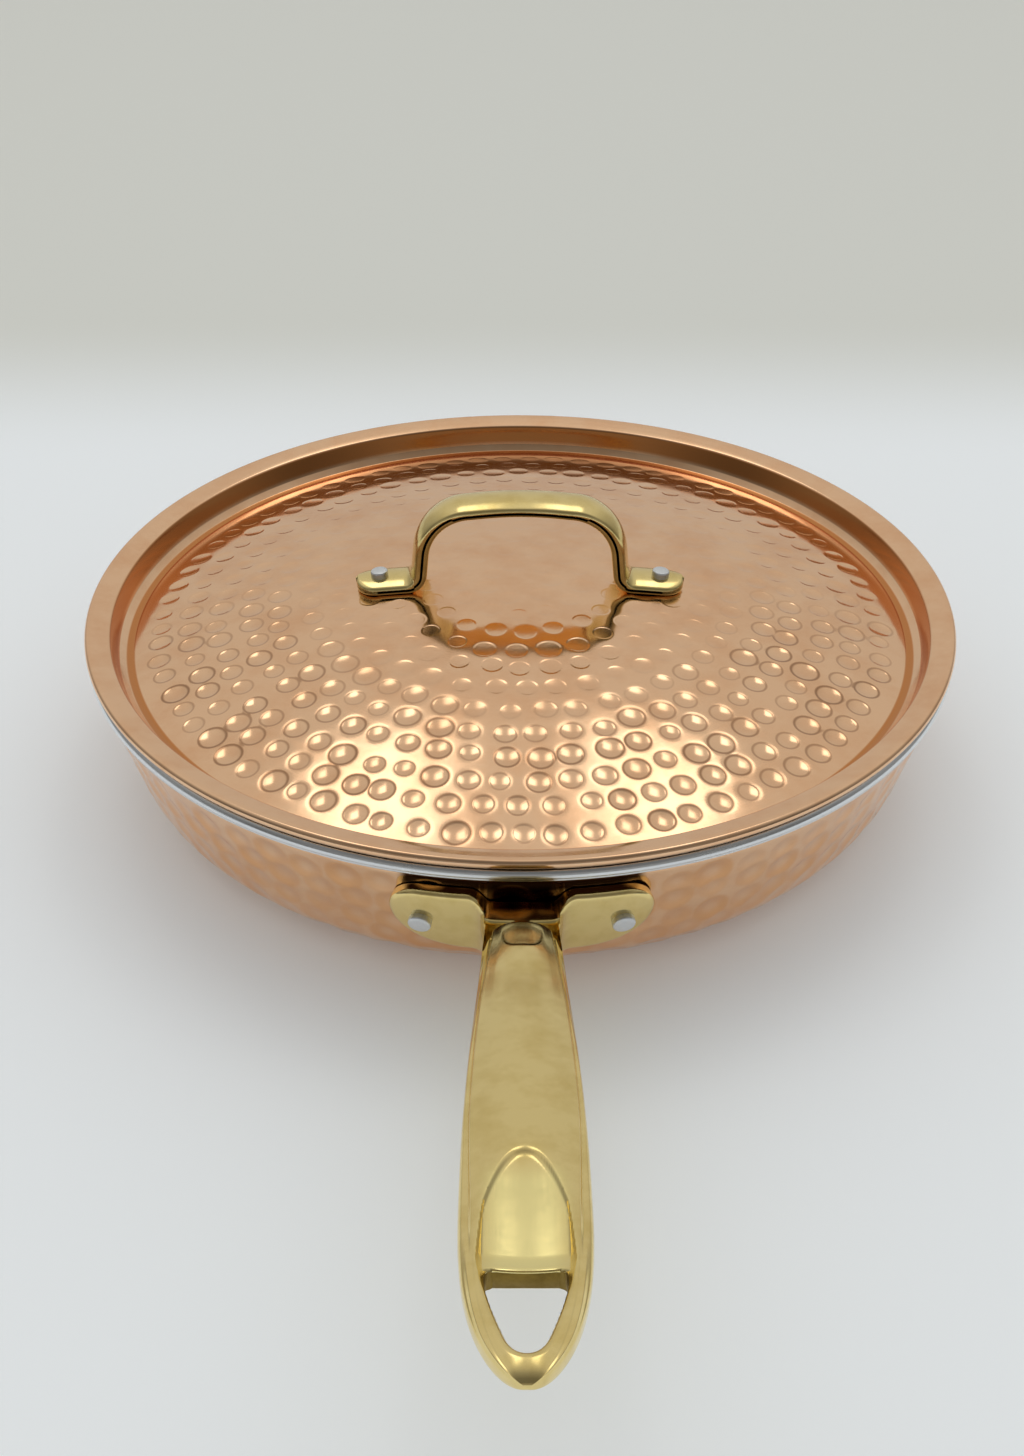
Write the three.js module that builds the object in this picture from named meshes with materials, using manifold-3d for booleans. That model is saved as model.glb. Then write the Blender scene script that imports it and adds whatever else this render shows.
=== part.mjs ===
// A lidded frying pan: a copper body lined with steel, a dished copper lid with a hammered dome,
// and cast brass handles held on by aluminium rivets.
// Millimetres, Z up. The origin is the middle of the pan's base and the long handle points along -Y.

import * as THREE from 'three';
import { mergeVertices } from 'three/addons/utils/BufferGeometryUtils.js';
import Module from 'manifold-3d';

const wasm = await Module();
wasm.setup();

// Clearances
const bondGap = 0.25; // between a copper sheet and its steel lining
const seatGap = 0.3; // between pieces that rest on each other
const cutOverrun = 4; // how far a cutting solid passes what it cuts

// Counts of facets
const roundSteps = 40;
const cornerSteps = 4;
const domeSteps = 3;
const edgeSteps = 3;
const rivetSteps = 12;
const handleSteps = 26;
const earSteps = 26;
const bendSteps = 4;

// Pan body
const rimRadius = 132.7; // outside of the rolled steel rim
const panHeight = 49.8; // base to the crown of the rim
const wallSpread = 33.7; // from the rim in to the flat part of the base
const cornerRadius = 25; // between base and wall
const panCopper = 0.8;
const panSteel = 1.2;
const rimHeight = 3.1;
const rimOverhang = 2.7; // the rim's bead outside its crown
const wallInset = 1.7; // top of the copper wall behind the outside of the rim

// Lid
const lidOverhang = 0.3; // lid's edge outside the pan's rim
const lidCopper = 0.9;
const lidSteel = 0.9;
const lidEdgeHeight = 2.8; // rolled outer edge
const flangeWidth = 6.3; // from the rolled edge to the top of the recess
const flangeDip = 2.2; // fall of the flange towards the recess
const recessRun = 2.1; // level width of the recess wall
const recessDrop = 5.4; // depth of the recess wall below the flange
const beadWidth = 1.9; // small step at the foot of the recess wall
const beadDrop = 1.6;
const troughWidth = 1.9; // bottom of the recess, out to the dome
const troughDrop = 0.5;
const domeRise = 15.2; // trough to the top of the dome

// Hammer marks on the dome, in rings
const markRings = 12;
const markPitch = 9.1; // from ring to ring
const markSpacing = 9.3; // along a ring
const markWidth = 7.6;
const markDepth = 0.6;
const markEdge = 8.5; // from the outermost ring to the foot of the dome
const markTurnShare = 0.62; // turn of each ring past the one inside it, of its marks' spacing

// Long handle: one casting of grip, neck and two riveted ears
const handleReach = 169.7; // from the pan's wall to the tip, level
const handleRise = 38; // from the top of the neck to the top of the tip
const neckTop = 33; // height of the neck's top face at the wall
const neckWidth = 19;
const neckDepth = 16.5;
const neckFillet = 3;
const gripWidth = 26.6;
const gripDepth = 10.4;
const gripCrown = 2.5; // rise of the grip's rounded top face
const tipLength = 52; // the part whose outline closes to the tip
const tipDepth = 7.5;
const bendReachShare = 0.4; // where the handle's upward curve has its control point
const bendRiseShare = 0.72;
const swellShare = 1.5; // how late the neck swells to the grip
const neckFallShare = 2.5; // how fast the neck's depth falls to the grip's
const tipFullShare = 3.2; // how late the tip's outline closes
const tipPointShare = 0.6; // how pointed it closes: half gives an oval
const tipRoundShare = 10; // how late the tip's depth closes
const earReach = 34; // from the middle to the end of an ear, round the wall
const earTop = 42.9; // height of the ears' top edge
const earHeight = 24.4;
const earFullShare = 2.8; // fullness of an ear's sweep under its rivet
const earCorner = 8; // upper outer corner of an ear
const earThickness = 4;
const earBevel = 1;
const notchDepth = 6.4; // dip between the ears above the neck
const notchBlend = 3.5; // width over which an ear's top falls into the notch

// Scoop and hanging hole near the tip of the long handle
const scoopStart = 108.7; // from the wall to the end of the scoop, level
const scoopWidth = 18;
const holeStart = 141.2;
const holeLength = 22;
const holeWidth = 16;
const holeCorner = 2.4;
const holeNose = 4.2; // half width of the hole where its narrow end begins to round
const holeSideShare = 0.33; // how far along the hole its sides bend in
const holeNoseShare = 0.64; // how full the round end is

// Lid handle: one brass strap
const strapWidth = 13.5;
const strapThickness = 3.5;
const strapBevel = 0.7;
const strapFootEnd = 7.6; // from a rivet's middle to the end of its foot
const strapLegs = 57.5; // between the legs, at their feet
const strapLean = 2.3; // how far each leg leans in on its way up
const strapClearance = 26.1; // finger height under the bar's middle, above the dome's top
const strapFootBend = 2.5;
const strapShoulder = 13.8;
const strapCrown = 3; // rise of the bar from its shoulders to its middle
const strapCrownRadius = 110;

// Rivets
const panRivetRadius = 3.1;
const panRivetSpan = 51.6; // between the two rivets, round the wall
const panRivetHeight = 31.6;
const lidRivetRadius = 2.65;
const lidRivetSpan = 85.8;
const stubHeight = 2.2; // how far a rivet's end stands proud
const headRadiusShare = 1.9; // a rivet's inner head, of its shank's radius
const headHeight = 1.8;
const rivetChamfer = 0.5;

// Materials
const copper = new THREE.MeshStandardMaterial({ color: 0xc68a62, roughness: 0.22, metalness: 1 });
const steel = new THREE.MeshStandardMaterial({ color: 0xc6c8ca, roughness: 0.3, metalness: 1 });
const brass = new THREE.MeshStandardMaterial({ color: 0xb39c50, roughness: 0.25, metalness: 1 });
const aluminium = new THREE.MeshStandardMaterial({ color: 0xaeb2b6, roughness: 0.45, metalness: 1 });

// A solid for cutting and joining, from a closed geometry
function solid(geometry) {
  const bare = geometry.clone();
  bare.deleteAttribute('normal');
  bare.deleteAttribute('uv');
  const merged = mergeVertices(bare, 1e-3);
  const vertProperties = new Float32Array(merged.attributes.position.array);
  const triVerts = new Uint32Array(merged.index.array);
  return new wasm.Manifold(new wasm.Mesh({ numProp: 3, vertProperties, triVerts }));
}

// A named mesh from a solid
function piece(name, shape, material) {
  const { vertProperties, triVerts, numProp } = shape.getMesh();
  const position = [];
  for (const corner of triVerts) {
    position.push(...vertProperties.subarray(corner * numProp, corner * numProp + 3));
  }
  const geometry = new THREE.BufferGeometry();
  geometry.setAttribute('position', new THREE.Float32BufferAttribute(position, 3));
  geometry.computeVertexNormals();
  const mesh = new THREE.Mesh(geometry, material);
  mesh.name = name;
  return mesh;
}

// A round solid about Z from a section of (radius, height) points
function turned(section) {
  return solid(new THREE.LatheGeometry(section, roundSteps).rotateX(Math.PI / 2));
}

// An upright solid from a plan outline
function upright(plan, low, high) {
  const settings = { depth: high - low, bevelEnabled: false, curveSegments: cornerSteps };
  return solid(new THREE.ExtrudeGeometry(plan, settings).translate(0, 0, low));
}

// A closed skin over rings that have the same number of points
function loft(rings) {
  const count = rings[0].length;
  const points = rings.flat();
  const faces = [];
  for (let i = 0; i + 1 < rings.length; i++) {
    for (let k = 0; k < count; k++) {
      const a = i * count + k;
      const b = i * count + ((k + 1) % count);
      faces.push(a, b, a + count, b, b + count, a + count);
    }
  }
  for (const first of [true, false]) {
    const ring = first ? rings[0] : rings[rings.length - 1];
    const start = first ? 0 : (rings.length - 1) * count;
    const middle = ring.reduce((sum, p) => sum.add(p), new THREE.Vector3()).divideScalar(count);
    points.push(middle);
    for (let k = 0; k < count; k++) {
      const next = start + ((k + 1) % count);
      faces.push(points.length - 1, first ? next : start + k, first ? start + k : next);
    }
  }
  const geometry = new THREE.BufferGeometry().setFromPoints(points);
  geometry.setIndex(faces);
  return solid(geometry);
}

// A line of points moved to its right by a distance, with its corners kept sharp
function offsetLine(line, distance) {
  return line.map((point, i) => {
    const before = line[Math.max(i - 1, 0)];
    const after = line[Math.min(i + 1, line.length - 1)];
    const into = i ? point.clone().sub(before) : after.clone().sub(point);
    const out = point === after ? into.clone() : after.clone().sub(point);
    const sides = [into, out].map((d) => new THREE.Vector2(d.y, -d.x).normalize());
    const middle = sides[0].clone().add(sides[1]).normalize();
    const moved = point.clone().addScaledVector(middle, distance / middle.dot(sides[0]));
    return point.x === 0 ? moved.setX(0) : moved;
  });
}

// A line through corner points, each inner corner rounded to its own radius
function roundedLine(corners, radii) {
  const line = [corners[0]];
  for (let i = 1; i + 1 < corners.length; i++) {
    const back = corners[i - 1].clone().sub(corners[i]).normalize();
    const on = corners[i + 1].clone().sub(corners[i]).normalize();
    const half = Math.acos(back.dot(on)) / 2;
    const centre = back.clone().add(on).normalize();
    centre.multiplyScalar(radii[i - 1] / Math.sin(half)).add(corners[i]);
    const from = corners[i].clone().addScaledVector(back, radii[i - 1] / Math.tan(half)).sub(centre);
    const to = corners[i].clone().addScaledVector(on, radii[i - 1] / Math.tan(half)).sub(centre);
    const turn = Math.atan2(from.cross(to), from.dot(to));
    for (let k = 0; k <= bendSteps; k++) {
      const arm = from.clone().rotateAround(new THREE.Vector2(), (turn * k) / bendSteps);
      line.push(arm.add(centre));
    }
  }
  return [...line, corners[corners.length - 1]];
}

// The pan's section: a flat base, a round corner and a straight wall that leans out
const baseRadius = rimRadius - wallSpread;
const rimCrown = rimRadius - rimOverhang;
const rimMiddle = panHeight - rimHeight / 2;
const copperTop = panHeight - rimHeight - seatGap;
const cornerCentre = new THREE.Vector2(baseRadius, cornerRadius);
const wallAngle = leanOfWall(new THREE.Vector2(rimRadius - wallInset, copperTop));

// The angle above level at which the wall faces outwards, with the wall touching the corner's arc
function leanOfWall(top) {
  const arm = top.clone().sub(cornerCentre);
  return Math.atan2(arm.y, arm.x) - Math.acos(cornerRadius / arm.length());
}

// The section's line at a depth inside the outer face, from the axis up to a height
function panLine(depth, height) {
  const line = [new THREE.Vector2(0, depth)];
  const turn = wallAngle + Math.PI / 2;
  for (let i = 0; i <= cornerSteps; i++) {
    const arm = new THREE.Vector2(0, depth - cornerRadius);
    line.push(arm.rotateAround(new THREE.Vector2(), (turn * i) / cornerSteps).add(cornerCentre));
  }
  return [...line, new THREE.Vector2(wallRadius(depth, height), height)];
}

// The radius of the straight wall at a depth inside its outer face and a height
function wallRadius(depth, height) {
  const foot = new THREE.Vector2(cornerRadius - depth, 0);
  foot.rotateAround(new THREE.Vector2(), wallAngle).add(cornerCentre);
  return foot.x - (height - foot.y) * Math.tan(wallAngle);
}

function panCopperShell() {
  const inner = panLine(panCopper, copperTop).reverse();
  return turned([...panLine(0, copperTop), ...inner]);
}

// The lining, whose top edge is rolled outwards over the copper into a round bead
function panSteelLiner() {
  const face = panCopper + bondGap;
  const low = panHeight - rimHeight;
  const inner = panLine(face + panSteel, rimMiddle).reverse();
  const rim = [];
  for (let i = 0; i <= 2 * edgeSteps; i++) {
    const angle = (Math.PI * (i / edgeSteps - 1)) / 2;
    const out = rimOverhang * Math.cos(angle);
    rim.push(new THREE.Vector2(rimCrown + out, rimMiddle + (rimHeight / 2) * Math.sin(angle)));
  }
  rim[0].x = Math.max(rimCrown, wallRadius(face, low));
  return turned([...panLine(face, low).slice(0, -1), ...rimFoot(face, low, rim[0]), ...rim, ...inner]);
}

// Where the lining's outer face meets the bottom of the bead
function rimFoot(face, low, bead) {
  const foot = new THREE.Vector2(wallRadius(face, low), low);
  return foot.x < bead.x ? [foot] : [];
}

// The lid's section: dome, trough, bead, recess wall and a sloping flange whose underside rests on the rim
const lidRadius = rimRadius + lidOverhang;
const lidThickness = lidCopper + bondGap + lidSteel;
const flangeEnd = lidRadius - lidEdgeHeight / 2;
const flangeSlope = Math.atan(flangeDip / flangeWidth);
const rimInner = rimCrown - wallRadius(panCopper + bondGap + panSteel, rimMiddle);
const rimSupport = Math.hypot(rimInner * Math.sin(flangeSlope), (rimHeight / 2) * Math.cos(flangeSlope));
const seatRise = (lidThickness + rimSupport + seatGap) / Math.cos(flangeSlope);
const lidTop = rimMiddle + (flangeEnd - rimCrown) * Math.tan(flangeSlope) + seatRise;
const recessRadius = flangeEnd - flangeWidth;
const beadRadius = recessRadius - recessRun;
const troughRadius = beadRadius - beadWidth;
const domeRadius = troughRadius - troughWidth;
const domeFoot = lidTop - flangeDip - recessDrop - beadDrop - troughDrop;
const domeTop = domeFoot + domeRise;

// The height of the dome's outer face at a distance from the axis
function domeHeight(radius) {
  const ball = (domeRadius ** 2 + domeRise ** 2) / (2 * domeRise);
  return domeTop - ball + Math.sqrt(ball ** 2 - radius ** 2);
}

// The angle at which the dome falls away at a distance from the axis
function domeFall(radius) {
  const ball = (domeRadius ** 2 + domeRise ** 2) / (2 * domeRise);
  return Math.asin(radius / ball);
}

function lidLine() {
  const line = [];
  for (let i = 0; i <= domeSteps; i++) {
    const radius = (domeRadius * i) / domeSteps;
    line.push(new THREE.Vector2(radius, domeHeight(radius)));
  }
  line.push(new THREE.Vector2(troughRadius, domeFoot + troughDrop));
  line.push(new THREE.Vector2(beadRadius, domeFoot + troughDrop + beadDrop));
  line.push(new THREE.Vector2(recessRadius, lidTop - flangeDip));
  line.push(new THREE.Vector2(flangeEnd, lidTop));
  return line;
}

// One row of points round the dome, as (angle, radius, height), from angles and depths below its face
function domeRow(radius, marks) {
  const full = 2 * Math.PI;
  const row = marks.map(([angle, depth]) => [(angle + full) % full, radius, domeHeight(radius) - depth]);
  return row.sort((a, b) => a[0] - b[0]);
}

// The three rows of a ring of hammer marks: each mark is a hollow inside six points of the dome's face
function markRows(ring) {
  const radius = domeRadius - markEdge - (markRings - 1 - ring) * markPitch;
  const count = Math.round((2 * Math.PI * radius) / markSpacing);
  const step = (2 * Math.PI) / count;
  const start = step * ((ring * markTurnShare) % 1);
  const side = markWidth / 4 / radius;
  const reach = (markWidth / 2) * Math.cos(Math.PI / 6);
  const rims = [];
  const middles = [];
  for (let i = 0; i < count; i++) {
    const angle = start + i * step;
    rims.push([angle - side, 0], [angle + side, 0]);
    middles.push([angle, markDepth], [angle + step / 2, 0]);
  }
  return [domeRow(radius - reach, rims), domeRow(radius, middles), domeRow(radius + reach, rims)];
}

// A row of points round the axis, as (angle, radius, height), for each point of a section
function turnedRows(section) {
  return section.map(({ x, y }) => {
    const row = [];
    for (let i = 0; i < roundSteps; i++) row.push([(2 * Math.PI * i) / roundSteps, x, y]);
    return row;
  });
}

// A closed skin over rows round the axis, from the top's middle to the underside's, whatever their counts
function skin(rows, top, bottom) {
  const points = [[0, 0, top], ...rows.flat(), [0, 0, bottom]];
  const faces = [];
  let start = 1;
  rows.forEach((row, r) => {
    const next = rows[r + 1];
    const at = (i) => start + (i % row.length);
    if (r === 0) row.forEach((_, i) => faces.push(0, at(i), at(i + 1)));
    if (next) faces.push(...stitch(row, next, start));
    else row.forEach((_, i) => faces.push(at(i), points.length - 1, at(i + 1)));
    start += row.length;
  });
  const places = points.map(([angle, radius, height]) => {
    return new THREE.Vector3(radius * Math.cos(angle), radius * Math.sin(angle), height);
  });
  const geometry = new THREE.BufferGeometry().setFromPoints(places);
  geometry.setIndex(faces);
  return solid(geometry);
}

// Triangles between two neighbouring rows, always stepping on the row that lags behind
function stitch(row, next, start) {
  const faces = [];
  const angle = (points, i) => points[i % points.length][0] + 2 * Math.PI * Math.floor(i / points.length);
  const a = (i) => start + (i % row.length);
  const b = (j) => start + row.length + (j % next.length);
  let i = 0;
  let j = 0;
  while (i < row.length || j < next.length) {
    const rowLags = j === next.length || (i < row.length && angle(row, i + 1) <= angle(next, j + 1));
    if (rowLags) faces.push(a(i), b(j), a(++i));
    else faces.push(a(i), b(j), b(++j));
  }
  return faces;
}

// The copper of the lid ends in a rolled edge that covers the edge of the steel
function lidCopperShell() {
  const line = lidLine();
  const under = offsetLine(line, lidCopper);
  const low = lidTop - lidEdgeHeight;
  const edge = [];
  for (let i = 1; i <= 2 * edgeSteps; i++) {
    const arm = new THREE.Vector2(0, lidEdgeHeight / 2);
    arm.rotateAround(new THREE.Vector2(), (-Math.PI * i) / (2 * edgeSteps));
    edge.push(arm.add(new THREE.Vector2(flangeEnd, lidTop - lidEdgeHeight / 2)));
  }
  edge.push(new THREE.Vector2(under[under.length - 1].x, low));
  const marks = [];
  for (let ring = 0; ring < markRings; ring++) marks.push(...markRows(ring));
  const plain = [...line.slice(domeSteps), ...edge, ...under.slice(1).reverse()];
  return skin([...marks, ...turnedRows(plain)], domeTop, under[0].y);
}

function lidSteelLiner() {
  const line = lidLine();
  line[line.length - 1].add(inwards(bondGap + lidSteel));
  const over = offsetLine(line, lidCopper + bondGap);
  const under = offsetLine(line, lidThickness);
  return turned([...over, ...under.reverse()].reverse());
}

// A step back along the flange towards the recess
function inwards(distance) {
  return new THREE.Vector2(-distance * Math.cos(flangeSlope), -distance * Math.sin(flangeSlope));
}

// The long handle's top line, as (distance from the axis, height)
const handleRoot = wallRadius(0, neckTop);
const handleTopLine = new THREE.QuadraticBezierCurve(
  new THREE.Vector2(handleRoot, neckTop),
  new THREE.Vector2(handleRoot + bendReachShare * handleReach, neckTop + bendRiseShare * handleRise),
  new THREE.Vector2(handleRoot + handleReach, neckTop + handleRise),
);

// The height of the top line at a level distance from the wall
function handleTop(distance) {
  const bend = 2 * bendReachShare;
  const along = distance / handleReach;
  const share = (Math.sqrt(bend ** 2 + 4 * (1 - bend) * along) - bend) / (2 * (1 - bend));
  return handleTopLine.getPoint(share).y;
}

// Half the handle's width at a level distance from the wall
function handleHalf(distance) {
  const body = handleReach - tipLength;
  const swell = Math.sin((Math.PI / 2) * THREE.MathUtils.clamp(distance / body, 0, 1)) ** swellShare;
  const half = neckWidth / 2 + ((gripWidth - neckWidth) / 2) * swell;
  const closing = THREE.MathUtils.clamp((distance - body) / tipLength, 0, 1);
  const fillet = 1 - THREE.MathUtils.clamp((distance - earThickness) / neckFillet, 0, 1);
  const tip = (1 - closing ** tipFullShare) ** tipPointShare;
  return half * tip + neckFillet * (1 - Math.sqrt(1 - fillet ** 2));
}

// Points of the handle's section, as shares: over the top face, down the side and under the widest line
const topFaceShares = [[0, 0], [0.5, 0.25], [0.86, 0.74], [1, 1]];
const sideShares = [[0.62, 0.35], [1, 1]];
const underShares = [[0.96, 0.45], [0.84, 0.85], [0.62, 1], [0, 1]];
const topFaceShare = 0.83; // half width of the top face, of the half width there
const widestShare = 0.55; // depth of the widest line, of the whole depth there

function handleSection(distance) {
  const half = handleHalf(distance);
  const near = 1 - THREE.MathUtils.clamp(distance / handleReach, 0, 1);
  const closing = Math.max(0, 1 - (handleReach - distance) / tipLength);
  const depth = gripDepth + (neckDepth - gripDepth) * near ** neckFallShare;
  const thin = depth + (tipDepth - gripDepth) * closing ** 2;
  const round = Math.sqrt(1 - closing ** tipRoundShare);
  const top = handleTop(distance) - (thin * (1 - round)) / 2;
  const crown = (gripCrown * half * round) / (gripWidth / 2);
  const face = half * topFaceShare;
  const widest = thin * round * widestShare;
  const right = [];
  for (const [across, down] of topFaceShares) right.push([face * across, crown * down]);
  for (const [across, down] of sideShares) {
    right.push([face + (half - face) * across, crown + (widest - crown) * down]);
  }
  for (const [across, down] of underShares) {
    right.push([half * across, widest + (thin * round - widest) * down]);
  }
  const left = right.slice(1, -1).reverse().map(([x, down]) => [-x, down]);
  const ring = [...right, ...left].reverse();
  return ring.map(([x, down]) => new THREE.Vector3(x, -handleRoot - distance, top - down));
}

function handleBar() {
  const rings = [];
  for (let i = 0; i < handleSteps; i++) {
    const share = Math.sin((Math.PI / 2) * (i / handleSteps));
    rings.push(handleSection(-cutOverrun + (handleReach + cutOverrun) * share));
  }
  return loft(rings);
}

// The heights of the ears' top and bottom edge at a distance round the wall
function earEdges(round) {
  const side = Math.abs(round);
  const past = Math.max(0, side - (earReach - earCorner));
  const corner = earCorner - Math.sqrt(Math.max(0, earCorner ** 2 - past ** 2));
  const neck = neckWidth / 2;
  const notch = 1 - THREE.MathUtils.smoothstep(side, neck - notchBlend, neck + notchBlend / 2);
  const sweep = Math.max(0, side - neck) / (earReach - neck);
  const under = Math.sqrt(Math.max(0, 1 - sweep ** earFullShare));
  const low = earTop - earCorner - (earHeight - earCorner) * under;
  return { high: earTop - corner - notchDepth * notch, low };
}

// A ring round the plate's thickness at a distance round the wall
function earRing(round) {
  const { high, low } = earEdges(round);
  const angle = round / wallRadius(0, panRivetHeight);
  const bevel = Math.min(earBevel, (high - low) / 4);
  const corners = [
    [low, cutOverrun / 2], [high, cutOverrun / 2], [high, bevel - earThickness],
    [high - bevel, -earThickness], [low + bevel, -earThickness], [low, bevel - earThickness],
  ];
  return corners.map(([height, depth]) => {
    const radius = wallRadius(depth, height);
    return new THREE.Vector3(radius * Math.sin(angle), -radius * Math.cos(angle), height);
  });
}

function earPlate() {
  const rings = [];
  for (let i = 0; i <= earSteps; i++) {
    const share = Math.sin(Math.PI * (i / earSteps - 1 / 2));
    rings.push(earRing(share * (earReach - seatGap / 2)));
  }
  return loft(rings);
}

// The space that the pan takes, with the clearance that the handle keeps from it
function panSpace() {
  const line = panLine(-seatGap, panHeight + cutOverrun);
  return turned([...line, new THREE.Vector2(0, panHeight + cutOverrun)]);
}

// The scoop: a level floor that leaves the rounded top face in an arch and runs into the hole
function scoopCut() {
  const plan = new THREE.Shape();
  const far = -handleRoot - scoopStart + cutOverrun;
  const near = -handleRoot - holeStart - holeCorner;
  plan.moveTo(-scoopWidth / 2, far);
  plan.lineTo(-holeWidth / 2, near);
  plan.lineTo(holeWidth / 2, near);
  plan.lineTo(scoopWidth / 2, far);
  const floor = handleTop(scoopStart);
  return upright(plan, floor, floor + gripDepth + cutOverrun);
}

// The hanging hole: straight across at the scoop and narrowing to a round nose at the tip
function holeCut() {
  const plan = new THREE.Shape();
  const start = -handleRoot - holeStart;
  const end = start - holeLength;
  const half = holeWidth / 2;
  const side = start - holeLength * holeSideShare;
  const round = holeNose * holeNoseShare;
  plan.moveTo(holeCorner - half, start);
  plan.quadraticCurveTo(-half, start, -half, start - holeCorner);
  plan.quadraticCurveTo(-half, side, -holeNose, end + holeNose);
  plan.quadraticCurveTo(-round, end, 0, end);
  plan.quadraticCurveTo(round, end, holeNose, end + holeNose);
  plan.quadraticCurveTo(half, side, half, start - holeCorner);
  plan.quadraticCurveTo(half, start, half - holeCorner, start);
  const low = handleTop(holeStart) - gripDepth - cutOverrun;
  return upright(plan, low, low + 2 * (gripDepth + cutOverrun));
}

function panHandle() {
  let shape = handleBar().add(earPlate()).subtract(panSpace());
  shape = shape.subtract(scoopCut()).subtract(holeCut());
  for (const side of [-1, 1]) shape = shape.subtract(panRivetHole(side));
  return shape;
}

// A rivet along Z, its shank's foot at zero: a low domed head inside and a plain stub outside
function rivetSection(radius, length, gap) {
  const head = radius * headRadiusShare;
  return [
    new THREE.Vector2(0, -headHeight - gap),
    new THREE.Vector2(head / 2, -headHeight - gap + rivetChamfer / 4),
    new THREE.Vector2(head - rivetChamfer, -gap - headHeight / 2),
    new THREE.Vector2(head, -gap - rivetChamfer),
    new THREE.Vector2(head - rivetChamfer, -gap),
    new THREE.Vector2(radius, -gap),
    new THREE.Vector2(radius, length - rivetChamfer),
    new THREE.Vector2(radius - rivetChamfer, length),
    new THREE.Vector2(0, length),
  ];
}

function holeSection(radius, length) {
  const wide = radius + seatGap;
  const corners = [[0, -cutOverrun], [wide, -cutOverrun], [wide, length], [0, length]];
  return corners.map(([across, height]) => new THREE.Vector2(across, height));
}

// A turned section stood on the inside of the pan's wall at a rivet, facing out
function atPanRivet(section, side) {
  const depth = panCopper + bondGap + panSteel;
  const turn = (side * panRivetSpan) / 2 / wallRadius(0, panRivetHeight);
  const geometry = new THREE.LatheGeometry(section, rivetSteps).rotateX(Math.PI / 2);
  geometry.rotateX(Math.PI / 2 - wallAngle);
  geometry.translate(0, -wallRadius(depth, panRivetHeight), panRivetHeight);
  return solid(geometry.rotateZ(turn));
}

const panStack = panCopper + bondGap + panSteel + earThickness;
const wallSag = rimRadius * (1 - Math.cos(Math.PI / roundSteps)); // facets lie this far inside the round
const panRivetEnd = panStack + stubHeight;
const panRivet = (side) => atPanRivet(rivetSection(panRivetRadius, panRivetEnd, wallSag + seatGap), side);
const panRivetHole = (side) => atPanRivet(holeSection(panRivetRadius, panRivetEnd), side);

// A turned section stood on the underside of the lid at a rivet of its handle, facing up
function atLidRivet(section, side) {
  const across = lidRivetSpan / 2;
  const fall = domeFall(across);
  const geometry = new THREE.LatheGeometry(section, rivetSteps).rotateX(Math.PI / 2);
  geometry.translate(0, 0, -lidThickness).rotateY(side * fall);
  return solid(geometry.translate(side * across, 0, domeHeight(across)));
}

const lidStack = lidThickness + seatGap + strapThickness;
const domeSag = domeHeight(0) - domeHeight(domeRadius / domeSteps / 2) + seatGap; // of the dome's facets
const lidRivetEnd = lidStack + stubHeight;
const lidRivet = (side) => atLidRivet(rivetSection(lidRivetRadius, lidRivetEnd, domeSag + seatGap), side);
const lidRivetHole = (side) => atLidRivet(holeSection(lidRivetRadius, lidRivetEnd), side);

// The strap's underside from one foot, up the leg and over to the other
const strapSpan = lidRivetSpan + 2 * strapFootEnd; // over both feet
function strapLine() {
  const legs = strapLegs / 2;
  const top = domeTop + strapClearance;
  const foot = (across) => domeHeight(across) + seatGap;
  const half = [
    new THREE.Vector2(strapSpan / 2, foot(strapSpan / 2)),
    new THREE.Vector2(legs, foot(legs)),
    new THREE.Vector2(legs - strapLean, top - strapCrown),
  ];
  const other = half.map((p) => new THREE.Vector2(-p.x, p.y)).reverse();
  const corners = [...half, new THREE.Vector2(0, top), ...other];
  const foots = strapFootBend + strapThickness;
  return roundedLine(corners, [foots, strapShoulder, strapCrownRadius, strapShoulder, foots]);
}

function lidHandle() {
  const line = strapLine();
  const outline = new THREE.Shape([...line, ...offsetLine(line, strapThickness).reverse()]);
  const settings = {
    depth: strapWidth - 2 * strapBevel, steps: 1, bevelThickness: strapBevel,
    bevelSize: strapBevel, bevelOffset: -strapBevel, bevelSegments: 1,
  };
  const strap = new THREE.ExtrudeGeometry(outline, settings).rotateX(Math.PI / 2);
  strap.translate(0, strapWidth / 2 - strapBevel, 0);
  const plan = new THREE.Shape();
  const end = (strapSpan - strapWidth) / 2;
  plan.absarc(end, 0, strapWidth / 2, -Math.PI / 2, Math.PI / 2);
  plan.absarc(-end, 0, strapWidth / 2, Math.PI / 2, (Math.PI * 3) / 2);
  const top = domeTop + strapClearance + strapThickness + cutOverrun;
  let shape = solid(strap).intersect(upright(plan, domeFoot, top));
  for (const side of [-1, 1]) shape = shape.subtract(lidRivetHole(side));
  return shape;
}

// A solid with the holes of its two rivets
function drilled(shape, hole) {
  return shape.subtract(hole(-1)).subtract(hole(1));
}

const pan = new THREE.Group();
pan.add(piece('pan_copper_shell', drilled(panCopperShell(), panRivetHole), copper));
pan.add(piece('pan_steel_liner', drilled(panSteelLiner(), panRivetHole), steel));
pan.add(piece('pan_handle', panHandle(), brass));
pan.add(piece('handle_rivet_left', panRivet(-1), aluminium));
pan.add(piece('handle_rivet_right', panRivet(1), aluminium));

const lid = new THREE.Group();
lid.add(piece('lid_copper_shell', drilled(lidCopperShell(), lidRivetHole), copper));
lid.add(piece('lid_steel_liner', drilled(lidSteelLiner(), lidRivetHole), steel));
lid.add(piece('lid_handle', lidHandle(), brass));
lid.add(piece('lid_rivet_left', lidRivet(-1), aluminium));
lid.add(piece('lid_rivet_right', lidRivet(1), aluminium));

const fryingPan = new THREE.Group();
fryingPan.add(pan, lid);

export default fryingPan;
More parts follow.
